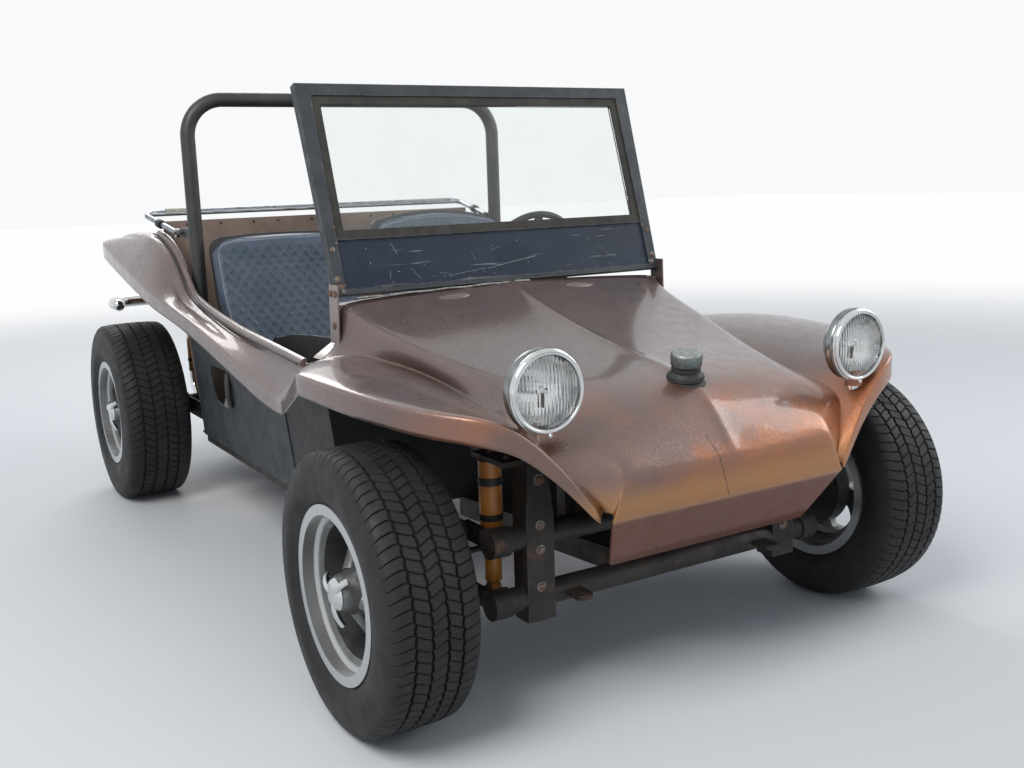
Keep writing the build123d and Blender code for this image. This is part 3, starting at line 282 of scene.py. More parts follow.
def makeFinish(name, look):
    material, tree, sockets = newMaterial(name)
    place = objectPlace(tree)
    tone = useGroup(tree, clouds, Vector=place, Scale=look.get("toneScale", 3.0))["Mask"]
    color = mixColor(tree, tone, look["color"], look["tone"])
    spread = look.get("spread", 0.06)
    rough = ramp(tree, noiseAt(tree, place, 25.0, 5.0), 0.3, 0.7, look["rough"] - spread, look["rough"] + spread)
    metal = look.get("metal", 0.0)
    normal = None
    if "flake" in look:
        scale, lean = look["flake"]
        sparkle = useGroup(tree, flakes, Vector=place, Scale=scale, Lean=lean)
        normal = sparkle["Normal"]
        color = mixColor(tree, times(tree, sparkle["Spark"], 0.45), color, look["flakeColor"])
    if "grain" in look:
        scale, height = look["grain"]
        normal = bumpFrom(tree, useGroup(tree, skinGrain, Vector=place, Scale=scale)["Height"], height, normal)
    if "scratch" in look:
        stretch, amount = look["scratch"]
        mark = useGroup(tree, scratches, Vector=place, Stretch=stretch, Amount=amount)["Mask"]
        color = mixColor(tree, mark, color, look["scratchColor"])
    # edge colour: real wear on most finishes, a painted highlight on the body paint
    if "wear" in look:
        radius, amount = look["wear"]
        wornAndLitEdge = useGroup(tree, edgeWearAndHighlightGroup, Vector=place, Radius=radius, Amount=amount)["Mask"]
        color = mixColor(tree, wornAndLitEdge, color, look["wearColor"])
    if "rust" in look:
        amount, scale = look["rust"]
        bloom = useGroup(tree, rustBloom, Vector=place, Amount=amount, Scale=scale)
        color = mixColor(tree, bloom["Mask"], color, bloom["Color"])
        rough = calc(tree, "MAXIMUM", rough, times(tree, bloom["Mask"], 0.85))
        if metal:
            metal = times(tree, restOf(tree, bloom["Mask"]), metal)
        normal = bumpFrom(tree, bloom["Mask"], 0.0004, normal)
    if "dust" in look:
        film = useGroup(tree, dustFilm, Vector=place, Amount=look["dust"])["Mask"]
        color = mixColor(tree, film, color, look.get("dustColor", (0.3, 0.26, 0.21)))
        rough = calc(tree, "MAXIMUM", rough, times(tree, film, 0.8))
    tree.links.new(color, sockets["Base Color"])
    tree.links.new(rough, sockets["Roughness"])
    feed(tree, sockets["Metallic"], metal)
    sockets["Coat Weight"].default_value = look.get("coat", 0.0)
    sockets["Coat Roughness"].default_value = look.get("coatRough", 0.1)
    sockets["Specular IOR Level"].default_value = look.get("specular", 0.5)
    if normal:
        tree.links.new(normal, sockets["Normal"])
    return material


def tint(material, mask, color):
    # lay one more colour over a finished material
    tree = material.node_tree
    base = tree.nodes["Principled BSDF"].inputs["Base Color"]
    tree.links.new(mixColor(tree, mask, base.links[0].from_socket, color), base)


def emboss(material, height, distance):
    # press one more relief into a finished material
    tree = material.node_tree
    normal = tree.nodes["Principled BSDF"].inputs["Normal"]
    tree.links.new(bumpFrom(tree, height, distance, normal.links[0].from_socket), normal)


looks = {
    # the golden edge colour of the body paint is a painted highlight on its edges and creases
    "body_paint": {
        "color": (0.09, 0.067, 0.067), "tone": (0.138, 0.09, 0.081), "toneScale": 1.6, "metal": 0.55, "rough": 0.34,
        "spread": 0.08, "coat": 0.75, "coatRough": 0.1, "flake": (1300.0, 0.3), "flakeColor": (0.3, 0.2, 0.165),
        "wear": (0.007, 0.6), "wearColor": (0.36, 0.26, 0.16), "dust": 0.16, "dustColor": (0.19, 0.17, 0.155),
    },
    "slate_paint": {
        "color": (0.014, 0.021, 0.027), "tone": (0.034, 0.04, 0.046), "toneScale": 9.0, "rough": 0.55, "spread": 0.1,
        "grain": (260.0, 0.00025), "wear": (0.005, 0.9), "wearColor": (0.12, 0.12, 0.12), "rust": (0.22, 18.0),
        "dust": 0.14, "dustColor": (0.12, 0.11, 0.1),
    },
    "navy_panel": {
        "color": (0.006, 0.014, 0.03), "tone": (0.013, 0.025, 0.044), "toneScale": 8.0, "rough": 0.44, "spread": 0.12,
        "specular": 0.35,
        "scratch": ((6.0, 90.0, 150.0), 0.5), "scratchColor": (0.3, 0.31, 0.33), "wear": (0.004, 0.7),
        "wearColor": (0.24, 0.24, 0.24), "dust": 0.1, "dustColor": (0.14, 0.14, 0.14),
    },
    "old_rubber": {
        "color": (0.014, 0.014, 0.012), "tone": (0.034, 0.03, 0.021), "toneScale": 20.0, "rough": 0.72,
        "grain": (420.0, 0.0003), "dust": 0.22, "dustColor": (0.12, 0.11, 0.085),
    },
    "black_rubber": {
        "color": (0.01, 0.01, 0.01), "tone": (0.02, 0.02, 0.02), "toneScale": 20.0, "rough": 0.55,
        "grain": (600.0, 0.0002), "dust": 0.1, "dustColor": (0.12, 0.11, 0.1),
    },
    "black_trim": {
        "color": (0.013, 0.014, 0.015), "tone": (0.022, 0.023, 0.024), "toneScale": 12.0, "rough": 0.52,
        "grain": (700.0, 0.00025), "wear": (0.003, 0.5), "wearColor": (0.07, 0.07, 0.07), "dust": 0.14,
        "dustColor": (0.12, 0.11, 0.1),
    },
    "dark_steel": {
        "color": (0.022, 0.02, 0.019), "tone": (0.042, 0.037, 0.033), "toneScale": 10.0, "metal": 0.4, "rough": 0.55,
        "spread": 0.12, "grain": (320.0, 0.0002), "wear": (0.004, 0.6), "wearColor": (0.14, 0.12, 0.1),
        "rust": (0.3, 11.0), "dust": 0.25, "dustColor": (0.1, 0.085, 0.07),
    },
    "brown_steel": {
        "color": (0.026, 0.027, 0.028), "tone": (0.05, 0.048, 0.046), "toneScale": 7.0, "metal": 0.3, "rough": 0.46,
        "grain": (300.0, 0.00015), "wear": (0.005, 0.7), "wearColor": (0.16, 0.15, 0.14), "rust": (0.18, 16.0),
        "dust": 0.1, "dustColor": (0.14, 0.13, 0.12),
    },
    "orange_paint": {
        "color": (0.6, 0.22, 0.022), "tone": (0.46, 0.16, 0.03), "toneScale": 14.0, "rough": 0.4, "coat": 0.2,
        "wear": (0.004, 0.8), "wearColor": (0.16, 0.12, 0.09), "rust": (0.2, 26.0), "dust": 0.3,
    },
    "black_paint": {
        "color": (0.012, 0.012, 0.013), "tone": (0.022, 0.021, 0.02), "toneScale": 10.0, "rough": 0.38, "spread": 0.1,
        "wear": (0.004, 0.8), "wearColor": (0.14, 0.13, 0.12), "rust": (0.15, 20.0), "dust": 0.25,
        "dustColor": (0.12, 0.11, 0.1),
    },
    "cast_alloy": {
        "color": (0.3, 0.295, 0.28), "tone": (0.2, 0.19, 0.175), "toneScale": 9.0, "metal": 0.75, "rough": 0.52,
        "spread": 0.1, "grain": (380.0, 0.0003), "dust": 0.35, "dustColor": (0.12, 0.1, 0.08),
    },
    "cast_wheel": {
        "color": (0.2, 0.205, 0.205), "tone": (0.13, 0.132, 0.13), "toneScale": 16.0, "metal": 0.75, "rough": 0.42,
        "spread": 0.1, "grain": (520.0, 0.0002), "wear": (0.003, 0.5), "wearColor": (0.38, 0.38, 0.38), "dust": 0.16,
        "dustColor": (0.12, 0.11, 0.1),
    },
    "chrome": {
        "color": (0.72, 0.73, 0.74), "tone": (0.6, 0.6, 0.59), "toneScale": 14.0, "metal": 1.0, "rough": 0.1,
        "spread": 0.05, "rust": (0.06, 30.0), "dust": 0.06,
    },
    "red_lens": {
        "color": (0.32, 0.006, 0.008), "tone": (0.24, 0.004, 0.008), "rough": 0.16, "coat": 0.8, "coatRough": 0.05,
        "dust": 0.15,
    },
}
finishes = {name: makeFinish(name.replace("_", " "), look) for name, look in looks.items()}

# windscreen glass and fluted lamp glass
glassLooks = {
    "clear_glass": {"color": (0.93, 0.97, 0.96), "rough": 0.02, "haze": 0.1, "flute": 0.0},
    "lamp_glass": {"color": (0.99, 0.995, 1.0), "rough": 0.01, "haze": 0.03, "flute": 0.0004},
}
grime = {"amount": 0.5, "scale": 9.0, "color": (0.8, 0.8, 0.76)}
fluteScale = 38.0
for name, look in glassLooks.items():
    finishes[name], tree, sockets = newMaterial(name.replace("_", " "))
    place = objectPlace(tree)
    smear = useGroup(tree, dustFilm, Vector=place, Amount=grime["amount"], Scale=grime["scale"])["Mask"]
    sockets["Transmission Weight"].default_value = 1.0
    sockets["IOR"].default_value = 1.45
    rough = ramp(tree, smear, 0.0, 1.0, look["rough"], look["rough"] + look["haze"])
    tree.links.new(rough, sockets["Roughness"])
    tree.links.new(mixColor(tree, smear, look["color"], grime["color"]), sockets["Base Color"])
    if look["flute"]:
        flutes = addNode(tree, "TexWave", bands_direction="X", wave_profile="SIN")
        flutes.inputs["Scale"].default_value = fluteScale
        tree.links.new(place, flutes.inputs["Vector"])
        tree.links.new(bumpFrom(tree, flutes.outputs["Fac"], look["flute"]), sockets["Normal"])

# wheels: polished outer lip round a grey cast centre
wheelSpecs = {
    "front": {"radius": 332, "width": 229, "rimX": 848, "axleY": -1300},
    "rear": {"radius": 357, "width": 257, "rimX": 829, "axleY": 1100},
}
wheelLip = {"low": 0.168, "high": 0.176, "color": (0.62, 0.62, 0.61), "share": 0.8, "smoother": 0.5}
for place, spec in wheelSpecs.items():
    material = makeFinish(place + " cast wheel", looks["cast_wheel"])
    tree = material.node_tree
    spot = split(tree, objectPlace(tree))
    offY = calc(tree, "SUBTRACT", spot["Y"], spec["axleY"] / 1000)
    offZ = calc(tree, "SUBTRACT", spot["Z"], spec["radius"] / 1000)
    reach = calc(tree, "SQRT", calc(tree, "ADD", times(tree, offY, offY), times(tree, offZ, offZ)))
    shine = ramp(tree, reach, wheelLip["low"], wheelLip["high"])
    tint(material, times(tree, shine, wheelLip["share"]), wheelLip["color"])
    rough = tree.nodes["Principled BSDF"].inputs["Roughness"]
    duller = restOf(tree, times(tree, shine, wheelLip["smoother"]))
    tree.links.new(times(tree, rough.links[0].from_socket, duller), rough)
    finishes[place + "Wheel"] = material

# finishes of single pieces
ownLooks = {
    "bowSteel": {
        "color": (0.34, 0.365, 0.39), "tone": (0.2, 0.215, 0.23), "toneScale": 18.0, "metal": 0.85, "rough": 0.28,
        "spread": 0.1, "rust": (0.15, 30.0), "dust": 0.08,
    },
    "oldBolt": {
        "color": (0.3, 0.29, 0.27), "tone": (0.16, 0.13, 0.1), "toneScale": 60.0, "metal": 0.7, "rough": 0.45,
        "spread": 0.1, "rust": (0.55, 45.0), "dust": 0.2,
    },
    "tanBoard": {
        "color": (0.3, 0.215, 0.165), "tone": (0.19, 0.13, 0.1), "toneScale": 5.0, "rough": 0.55, "spread": 0.1,
        "scratch": ((4.0, 60.0, 80.0), 0.25), "scratchColor": (0.4, 0.33, 0.27), "wear": (0.004, 0.6),
        "wearColor": (0.42, 0.36, 0.3), "dust": 0.2,
    },
    "seatPiping": {
        "color": (0.2, 0.23, 0.27), "tone": (0.13, 0.155, 0.19), "toneScale": 20.0, "rough": 0.42, "dust": 0.2,
    },
    # the lamp bowls' chrome is darkened as a painted reflection of dark surroundings
    "lampShell": {
        "color": (0.3, 0.32, 0.32), "tone": (0.2, 0.215, 0.21), "toneScale": 30.0, "metal": 1.0, "rough": 0.16,
        "spread": 0.06, "rust": (0.08, 30.0), "dust": 0.1,
    },
    "dulledCap": {
        "color": (0.2, 0.24, 0.235), "tone": (0.12, 0.15, 0.145), "toneScale": 70.0, "metal": 0.75, "rough": 0.38,
        "spread": 0.12, "dust": 0.2,
    },
    # painted highlight: the cap's top is a paler copy of the cap's metal
    "paleCap": {
        "color": (0.36, 0.42, 0.4), "tone": (0.22, 0.22, 0.18), "toneScale": 110.0, "metal": 0.45, "rough": 0.5,
        "spread": 0.1, "dust": 0.25,
    },
    "oldSealer": {
        "color": (0.5, 0.5, 0.46), "tone": (0.24, 0.23, 0.2), "toneScale": 60.0, "rough": 0.8, "dust": 0.2,
    },
    "barePrimer": {"color": (0.5, 0.51, 0.52), "tone": (0.3, 0.31, 0.33), "toneScale": 90.0, "rough": 0.7},
    "creamSleeve": {
        "color": (0.42, 0.4, 0.33), "tone": (0.3, 0.28, 0.22), "toneScale": 30.0, "rough": 0.6, "dust": 0.2,
    },
    "dialFace": {"color": (0.01, 0.01, 0.011), "tone": (0.02, 0.02, 0.02), "rough": 0.3, "coat": 0.6},
}
for name, look in ownLooks.items():
    spaced = "".join(" " + letter.lower() if letter.isupper() else letter for letter in name)
    finishes[name] = makeFinish(spaced, look)

# body paint: painted sunlight as copper where the nose rolls under and gilt on its face, painted shade as a dull dark
# chin, and a crack in the gelcoat
nosePaint = {
    "fadeY": (-1.38, -1.68), "sunCopper": (0.36, 0.125, 0.045), "cloudScale": 3.4, "clouds": (0.34, 0.62, 0.12, 1.0),
    "faceY": -1.5, "gilt": (0.44, 0.21, 0.06), "sunGiltZ": (0.6, 0.53), "sunGiltShare": 0.6,
    "chin": (0.12, 0.026, 0.015), "chinShadeZ": (0.509, 0.497), "chinShadeShare": 0.9, "chinDull": 0.9,
}
hairCrack = {
    "topZ": 0.586, "lowZ": 0.512, "slope": 0.28, "x": -0.042, "half": 0.0011, "frontY": -1.66, "wander": 0.008,
    "wanderScale": 60.0, "color": (0.012, 0.008, 0.006),
}
paint = finishes["body_paint"]
tree = paint.node_tree
spot = split(tree, objectPlace(tree))
# painted sunlight: patchy copper laid over the paint towards the nose
noseward = ramp(tree, spot["Y"], *nosePaint["fadeY"])
cloudy = ramp(tree, noiseAt(tree, objectPlace(tree), nosePaint["cloudScale"], 5.0, 0.6), *nosePaint["clouds"])
tint(paint, times(tree, noseward, cloudy), nosePaint["sunCopper"])
# painted sunlight: gilt on the upper part of the nose's face
onFace = calc(tree, "LESS_THAN", spot["Y"], nosePaint["faceY"])
tint(paint, times(tree, ramp(tree, spot["Z"], *nosePaint["sunGiltZ"]), onFace, nosePaint["sunGiltShare"]), nosePaint["gilt"])
# painted shade: the chin under the nose darkened to a dark red
chin = times(tree, ramp(tree, spot["Z"], *nosePaint["chinShadeZ"]), onFace, nosePaint["chinShadeShare"])
tint(paint, chin, nosePaint["chin"])
# coat and metal are turned down under the chin's painted shade, so it stays dark over a bright floor
for name in ("Coat Weight", "Metallic"):
    socket = tree.nodes["Principled BSDF"].inputs[name]
    full = socket.links[0].from_socket if socket.links else socket.default_value
    tree.links.new(times(tree, full, restOf(tree, times(tree, chin, nosePaint["chinDull"]))), socket)
crackX = times(tree, calc(tree, "SUBTRACT", hairCrack["topZ"], spot["Z"]), hairCrack["slope"])
crackX = calc(tree, "ADD", crackX, hairCrack["x"])
crackNoise = noiseAt(tree, objectPlace(tree), hairCrack["wanderScale"])
wander = times(tree, calc(tree, "SUBTRACT", crackNoise, 0.5), hairCrack["wander"])
offCrack = calc(tree, "ABSOLUTE", calc(tree, "ADD", calc(tree, "SUBTRACT", spot["X"], crackX), wander))
onCrack = calc(tree, "LESS_THAN", offCrack, hairCrack["half"])
inFront = calc(tree, "LESS_THAN", spot["Y"], hairCrack["frontY"])
aboveChin = calc(tree, "GREATER_THAN", spot["Z"], hairCrack["lowZ"])
tint(paint, times(tree, onCrack, inFront, aboveChin), hairCrack["color"])
print("finishes made,", len(finishes))

# every node kept from the frame takes the finish of its slot, or one of its own
ownFinish = {"top_bow": "bowSteel", "rear_bulkhead": "tanBoard"}
for part in frame["record"]["subparts"]:
    node = part["node"]
    wheelFinish = node.split("_")[0] + "Wheel" if "_rim_" in node else None
    finish = finishes.get(ownFinish.get(node) or wheelFinish or part["material_slot"])
    for holder in frame["nodes"][node].material_slots if finish else ():
        holder.material = finish


def addObject(name, mesh, finish, body="chassis", smooth=40):
    made = bpy.data.objects.new(name, mesh)
    view.collection.objects.link(made)
    made.data.materials.append(finish)
    if smooth:
        mesh.shade_smooth()
        mesh.set_sharp_from_angle(angle=math.radians(smooth))
    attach(made, body)
    return made


def gridFaces(rowCount, count, closeRows=False, closeColumns=False):
    # faces between neighbouring rows of count points each
    faces = []
    for i in range(rowCount if closeRows else rowCount - 1):
        for j in range(count if closeColumns else count - 1):
            start, nextStart, nextColumn = i * count, (i + 1) % rowCount * count, (j + 1) % count
            faces.append((start + j, start + nextColumn, nextStart + nextColumn, nextStart + j))
    return faces


def gridMesh(name, rows, closeRows=False, closeColumns=False):
    mesh = bpy.data.meshes.new(name)
    points = [point for row in rows for point in row]
    mesh.from_pydata(points, [], gridFaces(len(rows), len(rows[0]), closeRows, closeColumns))
    return mesh


# Body shell: one smooth skin for the hood, both fenders, the sill, the shoulder and the deck.
# Side rows run from the nose to the tail, in millimetres:
# inner x, y, z, fold share, fold z, crease x, y, z, lip, shoulder share, inner depth
bodyShell = {
    "skin": 0.007,
    "sideRows": [
        (352, -1664, 524, 0.5, 525, 374, -1684, 520, 20, 0, 0), (410, -1640, 598, 0.5, 604, 430, -1670, 604, 36, 0, 0),
        (455, -1600, 655, 0.5, 666, 484, -1656, 668, 46, 0, 0), (470, -1540, 690, 0.5, 717, 550, -1646, 730, 54, 0, 0),
        (466, -1440, 704, 0.5, 740, 600, -1632, 755, 60, 0, 0), (455, -1340, 714, 0.5, 754, 650, -1600, 768, 60, 0, 0),
        (450, -1222, 733, 0.5, 767, 708, -1510, 772, 58, 0, 0), (458, -1090, 756, 0.5, 785, 755, -1400, 786, 58, 0, 0),
        (490, -950, 778, 0.5, 799, 785, -1250, 795, 58, 0, 0), (560, -800, 796, 0.5, 810, 797, -1050, 800, 54, 0, 0),
        (619, -728, 774, 0.5, 792, 793, -1010, 795, 54, 0, 0), (642, -700, 765, 0.5, 706, 722, -680, 660, 36, 0, 60),
        (642, -500, 779, 0.5, 725, 722, -490, 682, 46, 0.1, 60), (642, -330, 790, 0.5, 751, 723, -310, 724, 52, 0.15, 60),
        (642, -140, 803, 0.5, 782, 729, -130, 770, 62, 0.25, 60), (642, 130, 834, 0.5, 824, 744, 130, 824, 50, 0.5, 60),
        (642, 330, 870, 0.5, 861, 764, 330, 862, 50, 0.9, 62), (644, 385, 922, 0.48, 912, 768, 400, 872, 50, 1, 97),
        (646, 450, 990, 0.46, 973, 773, 460, 884, 50, 1, 165), (648, 550, 1050, 0.45, 1032, 778, 550, 903, 50, 1, 225),
        (652, 660, 1078, 0.45, 1066, 782, 700, 937, 50, 1, 240), (653, 706, 1081, 0.45, 1069, 782, 759, 950, 51, 1, 30),
        (656, 800, 1086, 0.45, 1075, 782, 880, 975, 52, 1, 0), (660, 1000, 1084, 0.45, 1071, 780, 1110, 1022, 54, 1, 0),
        (655, 1200, 1062, 0.45, 1052, 770, 1270, 1046, 56, 1, 0), (620, 1390, 1038, 0.45, 1031, 690, 1450, 1030, 56, 1, 0),
        (590, 1426, 1004, 0.45, 997, 640, 1470, 990, 50, 0.6, 0), (575, 1439, 958, 0.5, 954, 600, 1468, 950, 34, 0.2, 0),
        (568, 1440, 905, 0.5, 903, 578, 1454, 901, 4, 0, 0),
    ],
    # hood rows: y, centre z, then half-width and z at the edge, the side and the foot
    "hoodRows": [
        (-1688, 620, 312, 628, 332, 598, 348, 524), (-1640, 682, 318, 664, 372, 644, 410, 598),
        (-1600, 720, 325, 688, 395, 676, 455, 655), (-1540, 757, 345, 722, 410, 708, 470, 690),
        (-1440, 777, 368, 752, 418, 730, 466, 704), (-1340, 791, 395, 770, 425, 744, 455, 714),
        (-1222, 808, 430, 790, 448, 762, 450, 733), (-1090, 834, 470, 818, 478, 786, 458, 756),
        (-950, 868, 500, 850, 504, 806, 490, 778), (-800, 915, 530, 888, 541, 818, 560, 796),
        (-728, 945, 553, 923, 562, 812, 619, 774),
    ],
    "bead": 6, "beadSteps": ((0, 1), (10, 0.8), (24, 0)), "hoodFall": 0.35, "hoodShares": (0.3, 0.55, 0.8),
    "edgeInset": 13, "edgeLift": 2, "foldRound": 0.16, "footRound": 0.14,
    # nose rows under the hood's front: y, z, half-width, half-width at the corner's foot
    "noseRows": [(-1698, 604, 316, 344), (-1700, 512, 349, 351), (-1690, 498, 346, 348), (-1614, 376, 298, 300)],
    "noseShares": (0, 0.03, 0.07, 0.3, 0.55, 0.8, 0.96), "noseBead": (0.7, 0.5), "noseFoot": (352, -1668, 524),
    "cornerShares": (0.15, 0.55, 0.85), "cornerBack": 8, "cornerDrop": 80, "footBack": 12, "footDrop": 82,
    # deck height beside each of the last side rows
    "deckRows": [1046, 1060, 1062, 1042, 1014, 998, 958, 905], "deckEnd": 1438, "deckInset": 16,
    "deckShares": (0, 0.3, 0.6, 0.85, 1), "deckGap": 4, "deckRise": 3,
    "frontShares": (0, 0.06, 0.14, 0.28, 0.5, 0.72, 0.89, 1), "foldShares": (0.22, 0.7, 0.93), "pastFold": (0.09, 0.87),
    "shoulderLift": (0, 5, 6, 0, -6, 5, 6, 0), "sillLift": (0, 3, -4, 0, 0, 0, 0, 0),
    "sillStart": 11, "lapEnd": 15, "rimRoll": 13, "rimLap": 30, "lipRound": 12, "lipShare": 0.4,
    "sharpRows": {10: 0.85, 11: 0.6, 0: 0.5}, "noseFolds": {-1: 0.45, -2: 0.9}, "shoulderFold": 0.35,
}
tubWall = {"x": 560, "z": 300, "slope": 0.107}
edgeColumn, creaseColumn = 20, 27  # the skin's inner edge and its outer crease, in every side row
hoodEnd, deckSide = 9, 5  # columns where the hood and the deck meet that edge


def tubWallX(z):
    return tubWall["x"] + (z - tubWall["z"]) * tubWall["slope"]


shellPoints = {}
sideRows = bodyShell["sideRows"]
deckStart = len(sideRows) - len(bodyShell["deckRows"])
for i, (innerX, innerY, innerZ, fold, foldZ, outX, outY, outZ, lip, shoulder, depth) in enumerate(sideRows):
    crown = (foldZ - innerZ - (outZ - innerZ) * fold) / (4 * fold * (1 - fold))
    pastFold, lastShare = bodyShell["pastFold"]
    rearShares = [0] + [fold * share for share in bodyShell["foldShares"]] + [fold, fold + pastFold, lastShare, 1]
    for j, (front, rear) in enumerate(zip(bodyShell["frontShares"], rearShares)):
        t = front + (rear - front) * shoulder
        smoothZ = innerZ + (outZ - innerZ) * t + crown * 4 * t * (1 - t)
        if t < fold:
            foldedZ = innerZ + (foldZ - innerZ) * t / fold
        else:
            foldedZ = foldZ + (outZ - foldZ) * (t - fold) / (1 - fold)
        z = smoothZ + (foldedZ - smoothZ) * shoulder + bodyShell["shoulderLift"][j] * shoulder
        if i >= bodyShell["sillStart"]:
            z += bodyShell["sillLift"][j] * (1 - shoulder)
        shellPoints[i, edgeColumn + j] = (innerX + (outX - innerX) * t, innerY + (outY - innerY) * t, z)
    for j, drop in enumerate((min(bodyShell["lipRound"], lip * bodyShell["lipShare"]), lip), 1):
        shellPoints[i, creaseColumn + j] = (outX, outY, outZ - drop)
    if bodyShell["sillStart"] <= i <= deckStart:
        # inner edge that rolls in and laps over the tub wall
        shellPoints[i, edgeColumn - 1] = (innerX - 1, innerY, innerZ - bodyShell["rimRoll"])
        for j, z in ((2, innerZ - depth), (3, innerZ - depth - bodyShell["rimLap"])):
            x = tubWallX(z) if i <= bodyShell["lapEnd"] else innerX - 2
            shellPoints[i, edgeColumn - j] = (x, innerY, z)
    if i >= deckStart:
        deckZ = bodyShell["deckRows"][i - deckStart]
        deckY = min(innerY, bodyShell["deckEnd"])
        for j, share in enumerate(bodyShell["deckShares"]):
            shellPoints[i, j] = ((innerX - bodyShell["deckInset"]) * share, deckY, deckZ)
        rise = min(bodyShell["deckRise"], innerZ - deckZ)
        shellPoints[i, deckSide] = (innerX - bodyShell["deckGap"], (deckY + innerY) / 2, deckZ + rise)
for i, (y, centreZ, edgeX, edgeZ, sideX, sideZ, footX, footZ) in enumerate(bodyShell["hoodRows"]):
    midZ = centreZ - (centreZ - edgeZ) * bodyShell["hoodFall"]
    nearX, midX, farX = (edgeX * share for share in bodyShell["hoodShares"])
    foldRound, footRound = bodyShell["foldRound"], bodyShell["footRound"]
    line = [(x, centreZ + bodyShell["bead"] * share) for x, share in bodyShell["beadSteps"]]
    line += [(nearX, (centreZ + midZ) / 2), (midX, midZ), (farX, (midZ + edgeZ) / 2)]
    line += [(edgeX - bodyShell["edgeInset"], edgeZ + bodyShell["edgeLift"])]
    line += [(edgeX + (sideX - edgeX) * foldRound, edgeZ - (edgeZ - sideZ) * foldRound), (sideX, sideZ)]
    line += [(footX - (footX - sideX) * footRound, footZ + (sideZ - footZ) * footRound)]
    for j, (x, z) in enumerate(line):
        shellPoints[i, j] = (x, y, z)
for i, (y, z, half, foot) in enumerate(bodyShell["noseRows"], 1):
    top = 1 if i == 1 else 0  # only the first row follows the hood's bead and the fender's foot
    beads = bodyShell["noseBead"] + (0,) * len(bodyShell["noseShares"])
    for j, (share, bead) in enumerate(zip(bodyShell["noseShares"], beads)):
        shellPoints[-i, j] = (half * share, y, z + bodyShell["bead"] * bead * top)
    for j, share in enumerate(bodyShell["cornerShares"], len(bodyShell["noseShares"])):
        back, drop = bodyShell["cornerBack"] * share * top, bodyShell["cornerDrop"] * share * top
        shellPoints[-i, j] = (half + (foot - half) * share, y + back, z - drop)
    shellPoints[-i, edgeColumn] = (foot, y + bodyShell["footBack"] * top, z - bodyShell["footDrop"] * top)
shellPoints[0, edgeColumn] = bodyShell["noseFoot"]

# cage faces between rows, wherever both rows have the same two columns side by side
shellOrder = {}
for row, column in shellPoints:
    shellOrder.setdefault(row, []).append(column)
shellCells = []
for row in sorted(shellOrder):
    nextColumns = shellOrder.get(row + 1, [])
    both = sorted(set(shellOrder[row]) & set(nextColumns))
    for left, right in zip(both, both[1:]):
        skipped = any(left < column < right for column in shellOrder[row] + nextColumns)
        meeting = right == edgeColumn and left in (deckSide, hoodEnd)
        if not skipped and (right - left == 1 or meeting):
            shellCells.append(((row, left), (row, right), (row + 1, right), (row + 1, left)))
cageKeys = sorted({key for cell in shellCells for key in cell})
cageIndex = {key: k for k, key in enumerate(cageKeys)}
cagePoints = [Vector(shellPoints[key]) * 0.001 for key in cageKeys]
shellMesh = bpy.data.meshes.new("bodyShell")
shellMesh.from_pydata(cagePoints, [], [[cageIndex[key] for key in cell] for cell in shellCells])

# firm the folds that the photograph shows sharp
firm = shellMesh.attributes.new("crease_edge", "FLOAT", "EDGE")
for edge in shellMesh.edges:
    (rowA, columnA), (rowB, columnB) = (cageKeys[v] for v in edge.vertices)
    if rowA == rowB and rowA in bodyShell["noseFolds"]:
        firm.data[edge.index].value = bodyShell["noseFolds"][rowA]
    elif rowA == rowB and min(columnA, columnB) >= edgeColumn:
        firm.data[edge.index].value = bodyShell["sharpRows"].get(rowA, 0.0)
    elif columnA == columnB == creaseColumn and min(rowA, rowB) >= bodyShell["sillStart"] - 1:
        firm.data[edge.index].value = bodyShell["shoulderFold"]
shell = addObject("bodyShell", shellMesh, finishes["body_paint"], smooth=0)
shellMesh.shade_smooth()
mirrored = shell.modifiers.new("mirror", "MIRROR")
mirrored.use_clip = True
mirrored.merge_threshold = 0.0005
subdivided = shell.modifiers.new("subdivision", "SUBSURF")
subdivided.levels = subdivided.render_levels = 2
wall = shell.modifiers.new("thickness", "SOLIDIFY")
wall.thickness = bodyShell["skin"]
wall.offset = -1
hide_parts("hood", "front_fenders", "side_sills", "rear_fenders", "rear_deck")
print("body shell made,", len(shellCells), "cage faces")

# quilted seat pads: a closed grid, swollen by cloth pressure, then stitched in diamonds
seatPads = {
    "cap": 0.007, "capReach": 45, "frames": 16, "pressure": 4.0, "edgeRound": 26, "thinnest": 0.12,
    "rowStep": 11.0, "columns": 48, "backStep": 4, "seamStep": 3,
    "diamond": 40, "diamondSlope": 0.8, "puff": 4.2, "puffRound": 0.55, "stitchDip": 2.0, "plainRim": 14, "rimFade": 12,
    # half-width of the cushion up to one height, of the back from another, and how it widens from there
    "cushion": (640, 216.6), "back": (800, 262.2), "widening": 0.13, "topHalf": 271,
    # the top edge: where its corners start and their radius, and how the rows below follow it
    "cornerStart": 221, "cornerRadius": 50, "liftFrom": 860, "topGap": 6, "backLean": (0.2552, 1),
    "seams": {},
    # centre x, height of the top edge's corners and of its middle
    "side": {"passenger": (-312, 1077, 1084), "driver": (312, 1111, 1135)},
    # from the front lip up the back: y and z on the pad, y and z behind it on the seat's shell
    "path": [
        (-297, 476, -298.6, 468), (-292, 506, -291, 446), (-283, 534, -285, 437.6), (-256, 556, -262, 436.5),
        (-200, 562, -205, 434), (-100, 558, -100, 430), (0, 552, 0, 425.5), (84, 547, 88, 422), (124, 554, 140, 420.5),
        (147, 576, 176, 440), (163, 606, 214, 471), (184, 668, 241, 575), (212, 760, 279, 725), (257, 910, 320, 885),
        (300, 1053, 365, 1060),
    ],
}


